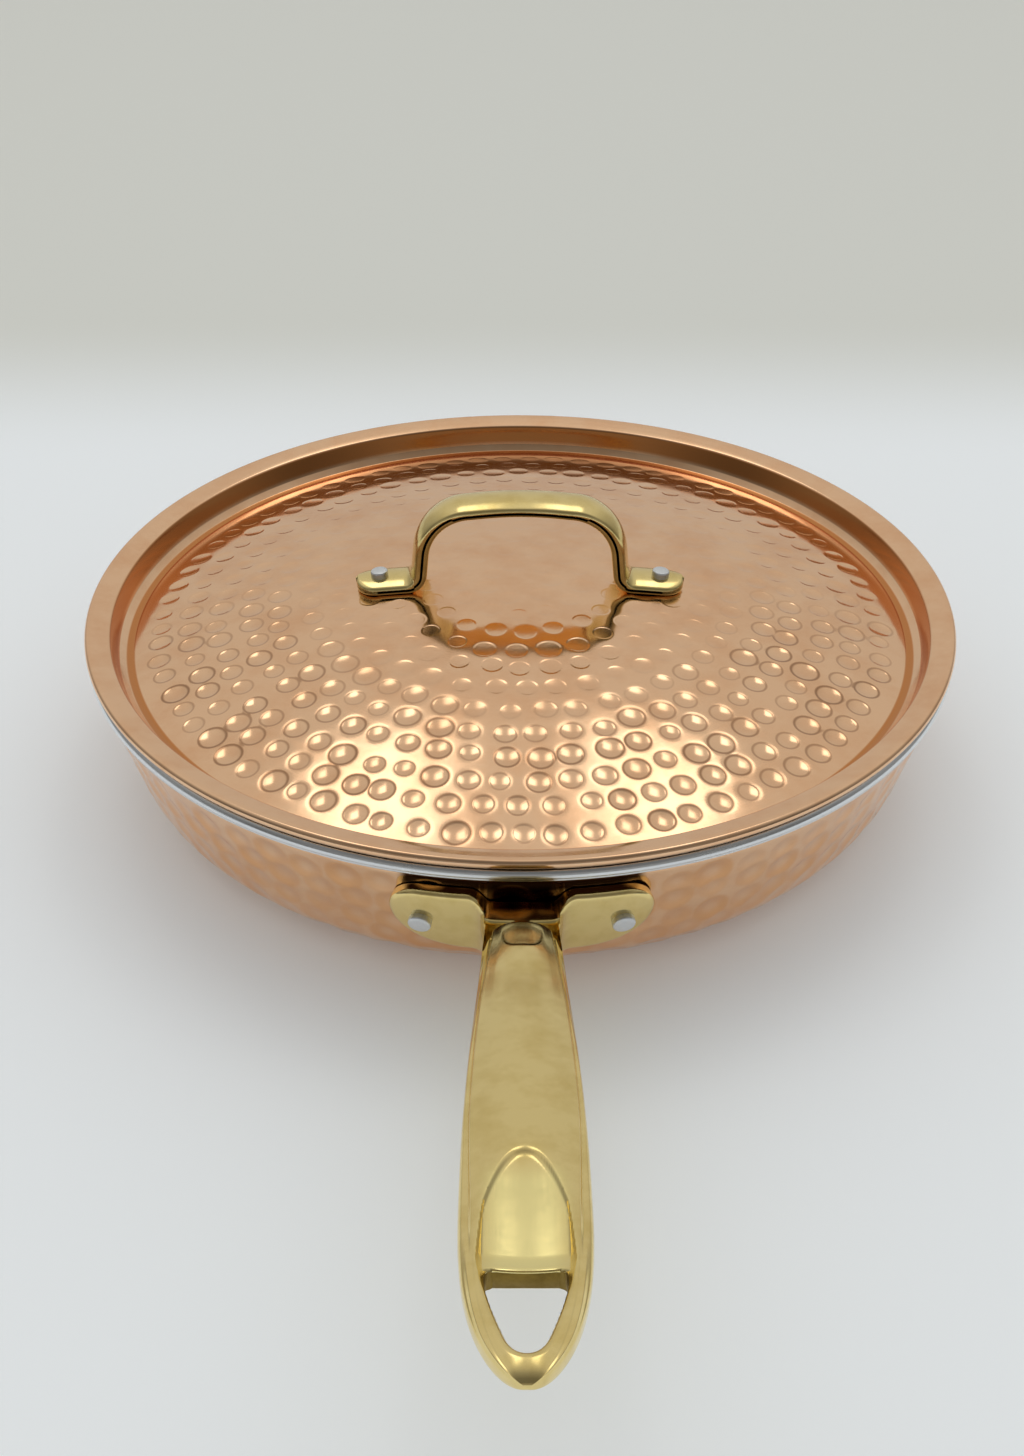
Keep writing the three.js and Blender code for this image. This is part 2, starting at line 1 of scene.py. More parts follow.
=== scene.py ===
# A lidded frying pan of hammered copper with brass handles, dressed round its packed frame.
# Lengths are worked out in millimetres in the frame's axes and turned to metres when a mesh is placed.

import math
import random

import bpy
import numpy as np
from mathutils import Matrix, Vector


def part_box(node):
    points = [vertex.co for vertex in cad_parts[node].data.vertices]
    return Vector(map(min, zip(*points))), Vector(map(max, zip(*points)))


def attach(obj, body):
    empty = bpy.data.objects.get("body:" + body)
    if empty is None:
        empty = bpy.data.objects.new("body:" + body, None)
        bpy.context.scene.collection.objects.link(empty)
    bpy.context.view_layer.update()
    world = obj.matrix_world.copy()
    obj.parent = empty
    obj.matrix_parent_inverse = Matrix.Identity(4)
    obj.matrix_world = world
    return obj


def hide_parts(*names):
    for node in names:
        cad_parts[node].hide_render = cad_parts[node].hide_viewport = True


bl_info = {
    "name": "Hammered frying pan",
    "version": (1, 0, 0),
    "blender": (4, 5, 0),
    "location": "3D View > Sidebar > Frying pan",
    "description": "Models and finishes a lidded copper frying pan round its frame",
    "category": "Object",
}

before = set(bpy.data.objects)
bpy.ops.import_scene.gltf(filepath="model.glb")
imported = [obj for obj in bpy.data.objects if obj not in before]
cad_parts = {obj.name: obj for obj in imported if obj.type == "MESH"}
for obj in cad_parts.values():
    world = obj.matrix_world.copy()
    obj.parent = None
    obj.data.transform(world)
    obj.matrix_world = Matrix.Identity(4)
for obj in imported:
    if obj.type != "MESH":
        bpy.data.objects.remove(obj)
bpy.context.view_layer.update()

MM = 0.001
SEAT = 0.3  # between pieces that rest on each other, in millimetres
WELD = 0.002 * MM  # points closer than this are merged
LID_MARGIN = 3  # from the last point of the plain dome to its foot, in millimetres


def linear(code):
    """An sRGB hex colour as linear red, green, blue and alpha."""
    parts = [int(code[i:i + 2], 16) / 255 for i in (1, 3, 5)]
    return tuple(c / 12.92 if c <= 0.04045 else ((c + 0.055) / 1.055) ** 2.4 for c in parts) + (1.0,)


def size(name, text, millimetres):
    """A length that a user can change, given in millimetres."""
    return bpy.props.FloatProperty(
        name=name, description=text, default=millimetres * MM, unit="LENGTH", precision=5)


def share(name, text, value):
    """A plain number that a user can change."""
    return bpy.props.FloatProperty(name=name, description=text, default=value)


def colour(name, text, code):
    """A colour that a user can change, given as sRGB hex."""
    return bpy.props.FloatVectorProperty(
        name=name, description=text, subtype="COLOR", size=4, min=0, max=1, default=linear(code))


def top_of(node):
    """The highest point of a node, in millimetres."""
    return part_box(node)[1].z / MM


def reach_of(node, axis):
    """The furthest reach of a node along an axis, in millimetres."""
    low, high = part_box(node)
    return max(abs(low[axis]), abs(high[axis])) / MM


class PanSizes(bpy.types.PropertyGroup):
    """Sizes of the pan's body."""
    rim_radius: size("Rim radius", "Outside of the rolled rim", reach_of("pan_steel_liner", 0))
    height: size("Height", "Base to the crown of the rim", top_of("pan_steel_liner"))
    wall_spread: size("Wall spread", "From the rim in to the flat part of the base", 33.7)
    corner: size("Corner", "Radius between base and wall", 25)
    copper: size("Copper", "Thickness of the copper", 0.8)
    steel: size("Steel", "Thickness of the lining", 1.2)
    bond: size("Bond", "Between the copper and the lining", 0.25)
    rim_height: size("Rim height", "Height of the rolled rim", 4.5)
    rim_overhang: size("Rim overhang", "The rim's bead outside its crown", 2.7)
    wall_inset: size("Wall inset", "Top of the copper behind the outside of the rim", 2.0)
    rim_groove: size("Rim groove", "Depth of the groove under the rim's roll", 0.35)
    copper_edge: size("Copper edge", "Rounding of the copper's upper edge", 0.3)
    inner_round: size("Inner round", "Rounding between the rim and the inside of the wall", 0.9)


class LidSizes(bpy.types.PropertyGroup):
    """Sizes of the lid."""
    radius: size("Radius", "Outside of the rolled edge", reach_of("lid_copper_shell", 0))
    dome_top: size("Dome top", "Height of the middle of the dome", top_of("lid_copper_shell"))
    dome_rise: size("Dome rise", "Foot to the top of the dome", 15.2)
    copper: size("Copper", "Thickness of the copper", 0.9)
    steel: size("Steel", "Thickness of the lining", 0.9)
    bond: size("Bond", "Between the copper and the lining", 0.25)
    edge: size("Edge", "Height of the rolled edge", 2.5)
    flange: size("Flange", "Width of the sloping flange", 6.3)
    flange_dip: size("Flange dip", "Fall of the flange towards the recess", 1.4)
    recess_run: size("Recess run", "Level width of the recess wall", 2.1)
    recess_drop: size("Recess drop", "Height of the recess wall", 6.2)
    bead_run: size("Bead run", "Level width of the step at the foot of the recess wall", 1.9)
    bead_drop: size("Bead drop", "Height of that step", 1.6)
    trough_run: size("Trough run", "Bottom of the recess out to the dome", 1.9)
    trough_drop: size("Trough drop", "Fall from the trough to the foot of the dome", 0.5)
    dome_round: size("Dome round", "Rounding between the dome and the trough", 1.6)
    trough_round: size("Trough round", "Rounding between the trough and the step", 0.7)
    bead_round: size("Bead round", "Rounding between the step and the recess wall", 0.6)
    recess_round: size("Recess round", "Rounding between the recess wall and the flange", 1.2)
    lap: size("Lap", "How far the brim's section reaches in over the dome", 2.5)


class HammerMarks(bpy.types.PropertyGroup):
    """The hammer marks on the lid and on the pan's wall."""
    pitch: size("Pitch", "From one ring of marks to the next", 9.1)
    spacing: size("Spacing", "From mark to mark along a ring", 9.3)
    width: size("Width", "Diameter of a mark", 7.6)
    depth: size("Depth", "Depth of a mark on the lid", 0.55)
    edge: size("Edge", "From the outermost ring to the foot of the dome", 8.7)
    wander: size("Wander", "How far a mark strays from its place", 0.5)
    wall_depth: size("Wall depth", "Depth of a mark on the pan's wall", 0.7)
    wall_width: size("Wall width", "Diameter of a mark on the pan's wall", 9.5)
    wall_pitch: size("Wall pitch", "From one ring of marks on the wall to the next", 8.6)
    wall_spacing: size("Wall spacing", "From mark to mark along a ring on the wall", 11.5)
    wall_edge: size("Wall edge", "From the top of the copper to the uppermost ring", 6)
    wall_foot: size("Wall foot", "How far the marks go on round the corner under the wall", 14)
    wall_wander: size("Wall wander", "How far a mark on the wall strays from its place", 0.9)
    softest: share("Softest", "Strength of the softest blow, of a full one", 0.65)
    hardest: share("Hardest", "Strength of the hardest blow, of a full one", 1.05)


class GripSizes(bpy.types.PropertyGroup):
    """Sizes of the long handle."""
    reach: size("Reach", "Wall to tip", 169.7)
    rise: size("Rise", "Top of the neck to the top of the tip", 38)
    neck_top: size("Neck top", "Height of the top line at the wall", 33)
    neck_width: size("Neck width", "Width at the wall", 19)
    neck_depth: size("Neck depth", "Depth at the wall", 16.5)
    width: size("Width", "Widest part of the grip", 26.6)
    depth: size("Depth", "Depth of the grip", 10.4)
    crown: size("Crown", "Rise of the rounded top face", 2.3)
    tip: size("Tip", "Length of the part that closes to the tip", 52)
    tip_depth: size("Tip depth", "Depth near the tip", 7.5)
    tip_full: share("Tip full", "How late the tip's outline closes", 3.2)
    tip_point: share("Tip point", "How pointed the tip closes; a half gives an oval", 0.6)
    groove: size("Groove", "Depth of the groove beside the top face", 0.9)
    groove_width: size("Groove width", "Level width of the groove's steep inner side", 1.0)
    nose: size("Nose", "From the wall to the rounded start of the top face", 16)
    nose_half: size("Nose half", "Half width of the straight front of the top face", 6.2)
    neck_slope: share("Neck slope", "How much flatter the top line runs near the neck", 0.15)
    neck_run: size("Neck run", "From the wall to the end of the flatter part", 40)
    scoop_start: size("Scoop start", "From the wall to the end of the scoop", 108.7)
    scoop_width: size("Scoop width", "Width of the scoop", 18)
    hole_start: size("Hole start", "From the wall to the hanging hole", 141.2)
    hole_length: size("Hole length", "Length of the hanging hole", 22)
    hole_width: size("Hole width", "Width of the hanging hole", 16)
    hole_corner: size("Hole corner", "Radius of the hole's two corners", 2.4)
    hole_nose: size("Hole nose", "Half width of the hole where its narrow end begins to round", 4.2)
    hole_side: share("Hole side", "How far along the hole its sides bend in", 0.33)
    hole_full: share("Hole full", "How full the hole's round end is", 0.64)
    hole_lip: size("Hole lip", "Rounding of the hole's edges", 1.8)
    ear_reach: size("Ear reach", "Middle to the end of an ear, round the wall", 34)
    ear_top: size("Ear top", "Height of the ears' top edge", 41.6)
    ear_height: size("Ear height", "Height of an ear", 23.1)
    ear_full: share("Ear full", "Fullness of an ear's sweep under its rivet", 2.8)
    ear_corner: size("Ear corner", "Upper outer corner of an ear", 8)
    ear_thickness: size("Ear thickness", "Thickness of an ear", 4)
    ear_bevel: size("Ear bevel", "Rounding of an ear's edges", 1.6)
    ear_blend: size("Ear blend", "Radius between an ear and the neck", 4.5)
    notch: size("Notch", "Dip between the ears", 5.1)


class StrapSizes(bpy.types.PropertyGroup):
    """Sizes of the lid's handle."""
    width: size("Width", "Width of the strap", 13.5)
    top: size("Top", "Height of the middle of the bar", top_of("lid_handle"))
    span: size("Span", "Over both feet", 2 * reach_of("lid_handle", 0))
    legs: size("Legs", "Between the legs, at their feet", 57.5)
    lean: size("Lean", "How far each leg leans in on its way up", 2.3)
    foot_bend: size("Foot bend", "Radius of the middle line between foot and leg", 4.6)
    shoulder: size("Shoulder", "Radius of the middle line between leg and bar", 15.5)
    crown: size("Crown", "Rise of the bar from its shoulders to its middle", 3)
    crown_radius: size("Crown radius", "Radius of the bar's middle", 110)
    foot: size("Foot", "Thickness of a foot", 3.4)
    leg: size("Leg", "Thickness of a leg", 5.0)
    bar: size("Bar", "Thickness of the bar", 3.8)
    rounding: size("Rounding", "Rounding of the strap's long edges", 0.7)
    face_crown: size("Face crown", "Rise of the strap's rounded outer face", 1.3)


class RivetSizes(bpy.types.PropertyGroup):
    """Sizes and places of the rivets."""
    pan_radius: size("Pan rivet radius", "Shank of a handle rivet", 3.1)
    pan_span: size("Pan rivet span", "Between the handle rivets, round the wall", 51.6)
    pan_height: size("Pan rivet height", "Height of the handle rivets", 31.6)
    lid_radius: size("Lid rivet radius", "Shank of a lid rivet", 2.65)
    lid_span: size("Lid rivet span", "Between the lid rivets", 85.8)
    stub: size("Stub", "How far a rivet's end stands proud", 1.7)
    head: size("Head", "Height of a rivet's inner head", 1.8)
    head_share: share("Head share", "Radius of the inner head, of the shank's radius", 1.9)
    edge: size("Edge", "Rounding of a rivet's edges", 0.5)


class Finishes(bpy.types.PropertyGroup):
    """Colours of the metals."""
    copper: colour("Copper", "Polished copper", "#F6CBA3")
    copper_dark: colour("Copper, tarnished", "Copper where handling has dulled it", "#EDBB90")
    # Painted reflection: a deep orange in the lid's recess, standing in for its walls mirrored in each other.
    copper_deep: colour("Copper, deep", "Copper in the recess, which no polishing reaches", "#D08A50")
    # Painted shade: dark brown rims on the lid's hammer marks, standing in for the dark surroundings mirrored
    # in them.
    copper_crease: colour("Copper, crease", "Tarnish in the rim of a hammer mark on the lid", "#7E4F2C")
    # Painted shade: a darker orange inside the hammer marks on the pan's wall.
    copper_wall: colour("Copper, wall crease", "Tarnish in a hammer mark on the wall", "#EBAE74")
    brass: colour("Brass", "Polished brass", "#F1DA97")
    brass_dark: colour("Brass, tarnished", "Brass where handling has dulled it", "#E0C67C")
    brass_cast: colour("Brass, as cast", "Brass inside the hanging hole", "#8A7236")
    # Painted highlight: a pale brass in the scoop, standing in for the lamps mirrored there.
    brass_worn: colour("Brass, worn bright", "Brass in the scoop, which thumbs rub", "#FFEFA8")
    # Painted shade: a near-black brown for the copper and brass between the ears, where they lie in shade.
    dull: colour("Dull", "Brown skin between the ears, where no polishing reaches", "#3A1E10")
    steel: colour("Steel", "Satin stainless steel", "#E6E8EA")
    aluminium: colour("Aluminium", "Drawn aluminium", "#E2E5E8")


class StageSettings(bpy.types.PropertyGroup):
    """The camera, floor and lights."""
    distance: size("Distance", "Camera to the middle of the pan, level", 497.3)
    height: size("Height", "Height of the camera", 342.6)
    pitch: bpy.props.FloatProperty(
        name="Pitch", description="How far the camera looks down",
        default=math.radians(34.32), subtype="ANGLE")
    lens: bpy.props.FloatProperty(
        name="Lens", description="Focal length", default=45.74, subtype="DISTANCE_CAMERA")
    aside: size("Aside", "Camera left of the middle of the pan", 2.9)
    lamp: bpy.props.FloatProperty(
        name="Lamp", description="Power of the lamp over the floor", default=25.8, unit="POWER")
    shift: share("Shift", "Sideways shift of the frame, of its longer side", 1.4 / 1456)
    floor: colour("Floor", "Pale floor", "#EEF2F4")
    backdrop: colour("Backdrop", "The floor behind the pan, which is a little darker", "#D5D6CF")
    lamp_colour: colour("Lamp colour", "Light of the lamp over the floor", "#F8FBFF")
    sky_colour: colour("Sky colour", "Light from all round", "#FFFDF8")


def sizes(group):
    """The lengths of a group in millimetres, by name."""
    values = {}
    for key in group.__annotations__:
        value = getattr(group, key)
        values[key] = value / MM if group.bl_rna.properties[key].unit == "LENGTH" else value
    return values


def alone(obj=None):
    """Deselects everything, then selects one object."""
    bpy.ops.object.select_all(action="DESELECT")
    if obj:
        obj.select_set(True)
        bpy.context.view_layer.objects.active = obj


def coordinates(obj):
    """An object's points in millimetres."""
    points = np.empty(len(obj.data.vertices) * 3)
    obj.data.vertices.foreach_get("co", points)
    return points.reshape(-1, 3) / MM


def place(obj, points):
    """Moves an object's points to places in millimetres."""
    obj.data.vertices.foreach_set("co", (np.asarray(points) * MM).ravel())
    obj.data.update()


def select_where(obj, kind, test):
    """Selects an object's vertices, edges or faces by a test of their middle in millimetres."""
    bpy.ops.mesh.select_mode(type=kind)
    bpy.ops.mesh.select_all(action="DESELECT")
    bpy.ops.object.mode_set(mode="OBJECT")
    points = coordinates(obj)
    items = {"VERT": obj.data.vertices, "EDGE": obj.data.edges, "FACE": obj.data.polygons}[kind]
    for item in items:
        middle = points[item.index] if kind == "VERT" else points[list(item.vertices)].mean(axis=0)
        item.select = bool(test(middle))
    bpy.ops.object.mode_set(mode="EDIT")


def apply(obj, kind, **settings):
    """Adds a modifier with its settings and applies it."""
    alone(obj)
    modifier = obj.modifiers.new(kind.title(), kind)
    for key, value in settings.items():
        setattr(modifier, key, value)
    bpy.ops.object.modifier_apply(modifier=modifier.name)


def turn_line(name, line, steps):
    """A sheet turned about Z from a line of (radius, height) points in millimetres."""
    alone()
    radius, height = line[0]
    bpy.ops.mesh.primitive_plane_add(size=MM, location=(radius * MM, 0, height * MM))
    obj = bpy.context.object
    obj.name = name
    bpy.ops.object.transform_apply(location=True)
    bpy.ops.object.mode_set(mode="EDIT")
    bpy.ops.mesh.select_mode(type="VERT")
    bpy.ops.mesh.select_all(action="SELECT")
    bpy.ops.mesh.merge(type="CENTER")
    for (r0, z0), (r1, z1) in zip(line, line[1:]):
        step = ((r1 - r0) * MM, 0, (z1 - z0) * MM)
        bpy.ops.mesh.extrude_region_move(TRANSFORM_OT_translate={"value": step})
    bpy.ops.object.mode_set(mode="OBJECT")
    apply(obj, "SCREW", axis="Z", angle=2 * math.pi, steps=steps, render_steps=steps,
          use_merge_vertices=True, merge_threshold=WELD)
    return obj


def join(objects, name):
    """Joins objects into the first of them."""
    if len(objects) == 1:
        return objects[0]
    alone()
    for obj in objects:
        obj.select_set(True)
    bpy.context.view_layer.objects.active = objects[0]
    bpy.ops.object.join()
    objects[0].name = name
    return objects[0]


def bridge_where(obj, test):
    """Joins the two open edges whose points pass a test."""
    alone(obj)
    bpy.ops.object.mode_set(mode="EDIT")
    bpy.ops.mesh.select_mode(type="EDGE")
    bpy.ops.mesh.select_all(action="DESELECT")
    bpy.ops.mesh.select_non_manifold(extend=False, use_wire=False, use_multi_face=False,
                                     use_non_contiguous=False, use_verts=False)
    bpy.ops.object.mode_set(mode="OBJECT")
    points = coordinates(obj)
    for edge in obj.data.edges:
        if edge.select:
            edge.select = bool(test(points[edge.vertices[0]]))
    bpy.ops.object.mode_set(mode="EDIT")
    bpy.ops.mesh.bridge_edge_loops()
    bpy.ops.object.mode_set(mode="OBJECT")


def close_up(obj):
    """Merges doubles, points the faces outwards and shades them smooth."""
    alone(obj)
    bpy.ops.object.mode_set(mode="EDIT")
    bpy.ops.mesh.select_all(action="SELECT")
    bpy.ops.mesh.remove_doubles(threshold=WELD)
    bpy.ops.mesh.normals_make_consistent(inside=False)
    bpy.ops.object.mode_set(mode="OBJECT")
    bpy.ops.object.shade_smooth()


def turned_solid(name, parts):
    """A closed turned solid from (line, steps) parts, each of which starts where the one before it ends."""
    sheets = [turn_line(name, line, steps) for line, steps in parts]
    ends = [(Vector(a[0][-1]), Vector(b[0][0])) for a, b in zip(parts, parts[1:])]
    obj = join(sheets, name)
    for a, b in ends:
        middle = (a + b) / 2
        near = (a - b).length
        bridge_where(obj, lambda p: (Vector((math.hypot(p[0], p[1]), p[2])) - middle).length < near)
    close_up(obj)
    return obj


def arc(centre, radius, start, end, steps):
    """Points on an arc, with its angles in degrees."""
    angles = np.radians(np.linspace(start, end, steps + 1))
    return [(centre[0] + radius * math.cos(a), centre[1] + radius * math.sin(a)) for a in angles]


def rounded(corners, radii, steps=4):
    """A line through corners, each inner corner rounded to its radius."""
    line = [tuple(corners[0])]
    for before, corner, after, radius in zip(corners, corners[1:], corners[2:], radii):
        corner = Vector(corner)
        back = (Vector(before) - corner).normalized()
        on = (Vector(after) - corner).normalized()
        half = back.angle(on) / 2
        centre = corner + (back + on).normalized() * radius / math.sin(half)
        start = corner + back * radius / math.tan(half) - centre
        sweep = start.angle_signed(corner + on * radius / math.tan(half) - centre)
        for k in range(steps + 1):
            arm = start.copy()
            arm.rotate(Matrix.Rotation(-sweep * k / steps, 2))
            line.append(tuple(centre + arm))
    return line + [tuple(corners[-1])]


def spaced(line, gap):
    """A line's points with more put between them where they are over a gap apart."""
    result = [line[0]]
    for a, b in zip(line, line[1:]):
        parts = max(1, round(math.dist(a, b) / gap))
        for k in range(1, parts + 1):
            result.append(tuple(np.array(a) + (np.array(b) - np.array(a)) * k / parts))
    return result


def offset(line, distance):
    """A line moved to its right by a distance."""
    points = np.array(line, float)
    along = np.gradient(points, axis=0)
    along /= np.linalg.norm(along, axis=1)[:, None]
    moved = points + distance * np.column_stack([along[:, 1], -along[:, 0]])
    moved[points[:, 0] == 0, 0] = 0
    return [tuple(p) for p in moved]


def flat_radius(points):
    """Level distance of points from the Z axis."""
    return np.hypot(points[:, 0], points[:, 1])


def smooth_step(low, high, value):
    """Rises softly from 0 at low to 1 at high."""
    t = np.clip((value - low) / (high - low), 0, 1)
    return t * t * (3 - 2 * t)


def smooth_min(a, b, blend):
    """The lower of two heights, rounded where they meet."""
    h = np.clip(0.5 + 0.5 * (b - a) / blend, 0, 1)
    return b * (1 - h) + a * h - blend * h * (1 - h)


def pan_shape():
    """The pan's section: the corner's centre, the wall's lean and the top of the copper."""
    s = sizes(bpy.context.scene.pan_sizes)
    s["base"] = s["rim_radius"] - s["wall_spread"]
    s["copper_top"] = s["height"] - s["rim_height"] - SEAT
    arm = Vector((s["rim_radius"] - s["wall_inset"], s["copper_top"])) - Vector((s["base"], s["corner"]))
    s["lean"] = math.atan2(arm.y, arm.x) - math.acos(s["corner"] / arm.length)
    return s


def wall_radius(s, depth, height):
    """Radius of the pan's wall at a depth inside its outer face and a height."""
    foot_r = s["base"] + (s["corner"] - depth) * math.cos(s["lean"])
    foot_z = s["corner"] + (s["corner"] - depth) * math.sin(s["lean"])
    return foot_r - (height - foot_z) * math.tan(s["lean"])


def pan_line(s, depth, height, steps):
    """The pan's section at a depth inside its outer face, from the axis up to a height."""
    centre = (s["base"], s["corner"])
    corner = arc(centre, s["corner"] - depth, -90, math.degrees(s["lean"]), steps)
    return [(0, depth), *corner, (wall_radius(s, depth, height), height)]


def marks_on(rings, h, width, wander, seed):
    """Hammer marks as (angle, place along the section, radius, strength), in rings of (place, turn radius,
    count). A harder blow leaves a wider mark."""
    draw = random.Random(seed)
    width_spread = 0.04
    marks = []
    for along, radius, count in rings:
        start = draw.random()
        ring = along + draw.gauss(0, wander / 2)
        for i in range(count):
            angle = 2 * math.pi * (i + start) / count + draw.gauss(0, wander) / max(radius, width)
            strength = draw.uniform(h["softest"], h["hardest"])
            reach = width / 2 * math.sqrt(strength) * draw.gauss(1, width_spread)
            marks.append((angle, ring + draw.gauss(0, wander), reach, strength))
    return marks


def dent(distance, reach):
    """The depth of a ball's mark, from 1 in its middle to 0 past its rounded rim."""
    soft = 0.03
    inside = 1 - (distance / reach) ** 2
    return 0.5 * (inside + np.sqrt(inside ** 2 + soft) - math.sqrt(soft) * np.clip(inside, 0, 1))


def hammered(obj, inside, along_of, marks, depth):
    """Sinks hammer marks into an object by a weighted Displace modifier. The attribute mark holds how far
    out in its mark a point lies, 1 at the rim, and the attribute blow how strong that mark is."""
    end_share = 1.6  # of its radius, past which a mark ends
    no_mark = 2.0
    least = 1e-4
    points = coordinates(obj)
    chosen = np.nonzero(inside(points))[0]
    angle = np.arctan2(points[chosen, 1], points[chosen, 0])
    along = along_of(points[chosen])
    radius = flat_radius(points[chosen])
    weight = np.zeros(len(chosen))
    place_in_mark = np.full(len(points), no_mark)
    blow = np.zeros(len(points))
    for mark_angle, mark_along, reach, strength in marks:
        turn = (angle - mark_angle + math.pi) % (2 * math.pi) - math.pi
        near = (np.abs(along - mark_along) < end_share * reach) & (np.abs(turn) * radius < end_share * reach)
        distance = np.hypot(along[near] - mark_along, turn[near] * radius[near])
        weight[near] = np.maximum(weight[near], strength * dent(distance, reach))
        at = chosen[near]
        blow[at] = np.where(distance / reach < place_in_mark[at], strength, blow[at])
        place_in_mark[at] = np.minimum(place_in_mark[at], distance / reach)
    for name, values in (("mark", place_in_mark), ("blow", blow)):
        obj.data.attributes.new(name, "FLOAT", "POINT").data.foreach_set("value", values)
    group = obj.vertex_groups.new(name="hammer marks")
    for index, value in zip(chosen.tolist(), weight.tolist()):
        if value > least:
            group.add([index], value, "REPLACE")
    apply(obj, "DISPLACE", vertex_group=group.name, strength=-depth * MM, mid_level=0)
    obj.vertex_groups.remove(obj.vertex_groups["hammer marks"])


def lid_shape():
    """The lid's section, from the driving sizes."""
    s = sizes(bpy.context.scene.lid_sizes)
    s["dome_foot"] = s["dome_top"] - s["dome_rise"]
    s["flange_end"] = s["radius"] - s["edge"] / 2
    s["top"] = s["dome_foot"] + s["trough_drop"] + s["bead_drop"] + s["recess_drop"] + s["flange_dip"]
    s["recess"] = s["flange_end"] - s["flange"]
    s["bead"] = s["recess"] - s["recess_run"]
    s["trough"] = s["bead"] - s["bead_run"]
    s["dome"] = s["trough"] - s["trough_run"]
    s["ball"] = (s["dome"] ** 2 + s["dome_rise"] ** 2) / (2 * s["dome_rise"])
    return s


def dome_height(s, radius):
    """Height of the dome's face at a radius."""
    return s["dome_top"] - s["ball"] + np.sqrt(s["ball"] ** 2 - np.asarray(radius) ** 2)


def dome_line(s, start, end, gap):
    """Points over the dome between two radii."""
    radii = np.linspace(start, end, max(2, round((end - start) / gap)) + 1)
    return [(float(r), float(dome_height(s, r))) for r in radii]


def lid_brim(s):
    """The lid's section outside the dome: trough, bead, recess wall and flange."""
    inner = s["dome"] - s["lap"]
    corners = [
        (inner, float(dome_height(s, inner))), (s["dome"], s["dome_foot"]),
        (s["trough"], s["dome_foot"] + s["trough_drop"]),
        (s["bead"], s["dome_foot"] + s["trough_drop"] + s["bead_drop"]),
        (s["recess"], s["top"] - s["flange_dip"]), (s["flange_end"], s["top"]),
    ]
    return rounded(corners, [s["dome_round"], s["trough_round"], s["bead_round"], s["recess_round"]])


def lid_marks(s):
    """The rings of hammer marks on the dome. The blows grow softer towards the middle and the back."""
    h = sizes(bpy.context.scene.hammer_marks)
    rings = []
    radius = s["dome"] - h["edge"]
    while radius > h["pitch"] / 2:
        rings.append((radius, radius, max(5, round(2 * math.pi * radius / h["spacing"]))))
        radius -= h["pitch"]
    marks = []
    soft_middle, back_share = (45, 85), 0.65
    for angle, along, reach, strength in marks_on(rings, h, h["width"], h["wander"], seed=7):
        outwards = 0.3 + 0.7 * float(smooth_step(*soft_middle, along))
        forwards = 1 - 0.72 * float(smooth_step(0, back_share, math.sin(angle)))
        marks.append((angle, along, reach, strength * outwards * forwards))
    return marks


def hammer_dome(obj, s, below, depth):
    """Hammers the face of a sheet of the lid that lies a depth below the dome, with the same marks on each
    sheet."""
    margin = 1
    tolerance = 0.35

    def face(p):
        flat = flat_radius(p)
        height = dome_height(s, np.minimum(flat, s["dome"])) - below
        return (flat < s["dome"] - margin) & (np.abs(p[:, 2] - height) < tolerance)

    hammered(obj, face, flat_radius, lid_marks(s), depth)


def add(tree, kind, settings=None, links=None):
    """Adds a node with its settings and links. A link is an input and the output that feeds it."""
    node = tree.nodes.new(kind)
    for key, value in (settings or {}).items():
        if key in node.inputs.keys() or isinstance(key, int):
            node.inputs[key].default_value = value
        else:
            setattr(node, key, value)
    for key, source in (links or {}).items():
        tree.links.new(source, node.inputs[key])
    return node


def new_material(name):
    """An empty material with its output."""
    material = bpy.data.materials.new(name)
    material.use_nodes = True
    tree = material.node_tree
    tree.nodes.clear()
    return material, tree, add(tree, "ShaderNodeOutputMaterial")


def polar(tree, source):
    """Radius, turn and height of object coordinates. A radian of turn counts as 4 mm."""
    split = add(tree, "ShaderNodeSeparateXYZ", links={0: source})
    flat = add(tree, "ShaderNodeCombineXYZ", links={"X": split.outputs["X"], "Y": split.outputs["Y"]})
    radius = add(tree, "ShaderNodeVectorMath", {"operation": "LENGTH"}, {0: flat.outputs[0]})
    angle = add(tree, "ShaderNodeMath", {"operation": "ARCTAN2"},
                {0: split.outputs["Y"], 1: split.outputs["X"]})
    turn = add(tree, "ShaderNodeMath", {"operation": "MULTIPLY", 1: 4 * MM}, {0: angle.outputs[0]})
    return add(tree, "ShaderNodeCombineXYZ", links={
        "X": radius.outputs["Value"], "Y": turn.outputs[0], "Z": split.outputs["Z"]}).outputs[0]


def soft_steps(tree, steps):
    """The product of soft steps. Each goes from a low value, where its source has a start value, to a high
    one at an end value."""
    whole = None
    for source, start, end, low, high in steps:
        step = add(tree, "ShaderNodeMapRange", {
            "interpolation_type": "SMOOTHSTEP", "From Min": start, "From Max": end, "To Min": low,
            "To Max": high}, {"Value": source}).outputs[0]
        whole = step if whole is None else add(
            tree, "ShaderNodeMath", {"operation": "MULTIPLY"}, {0: whole, 1: step}).outputs[0]
    return whole


def between(tree, source, low, high, soft):
    """The soft step that is 1 where a coordinate lies between two places in millimetres and 0 beside them."""
    middle, half = (low + high) / 2 * MM, (high - low) / 2 * MM
    off = add(tree, "ShaderNodeMath", {"operation": "SUBTRACT", 1: middle}, {0: source})
    away = add(tree, "ShaderNodeMath", {"operation": "ABSOLUTE"}, {0: off.outputs[0]})
    return away.outputs[0], half - soft * MM, half + soft * MM, 1.0, 0.0


def in_box(low, high, soft):
    """Where the box between two corners in millimetres is, with soft sides."""
    def where(tree, place_of):
        split = add(tree, "ShaderNodeSeparateXYZ", links={0: place_of})
        return soft_steps(tree, [between(tree, split.outputs[axis], low[axis], high[axis], soft)
                                 for axis in range(3)])
    return where


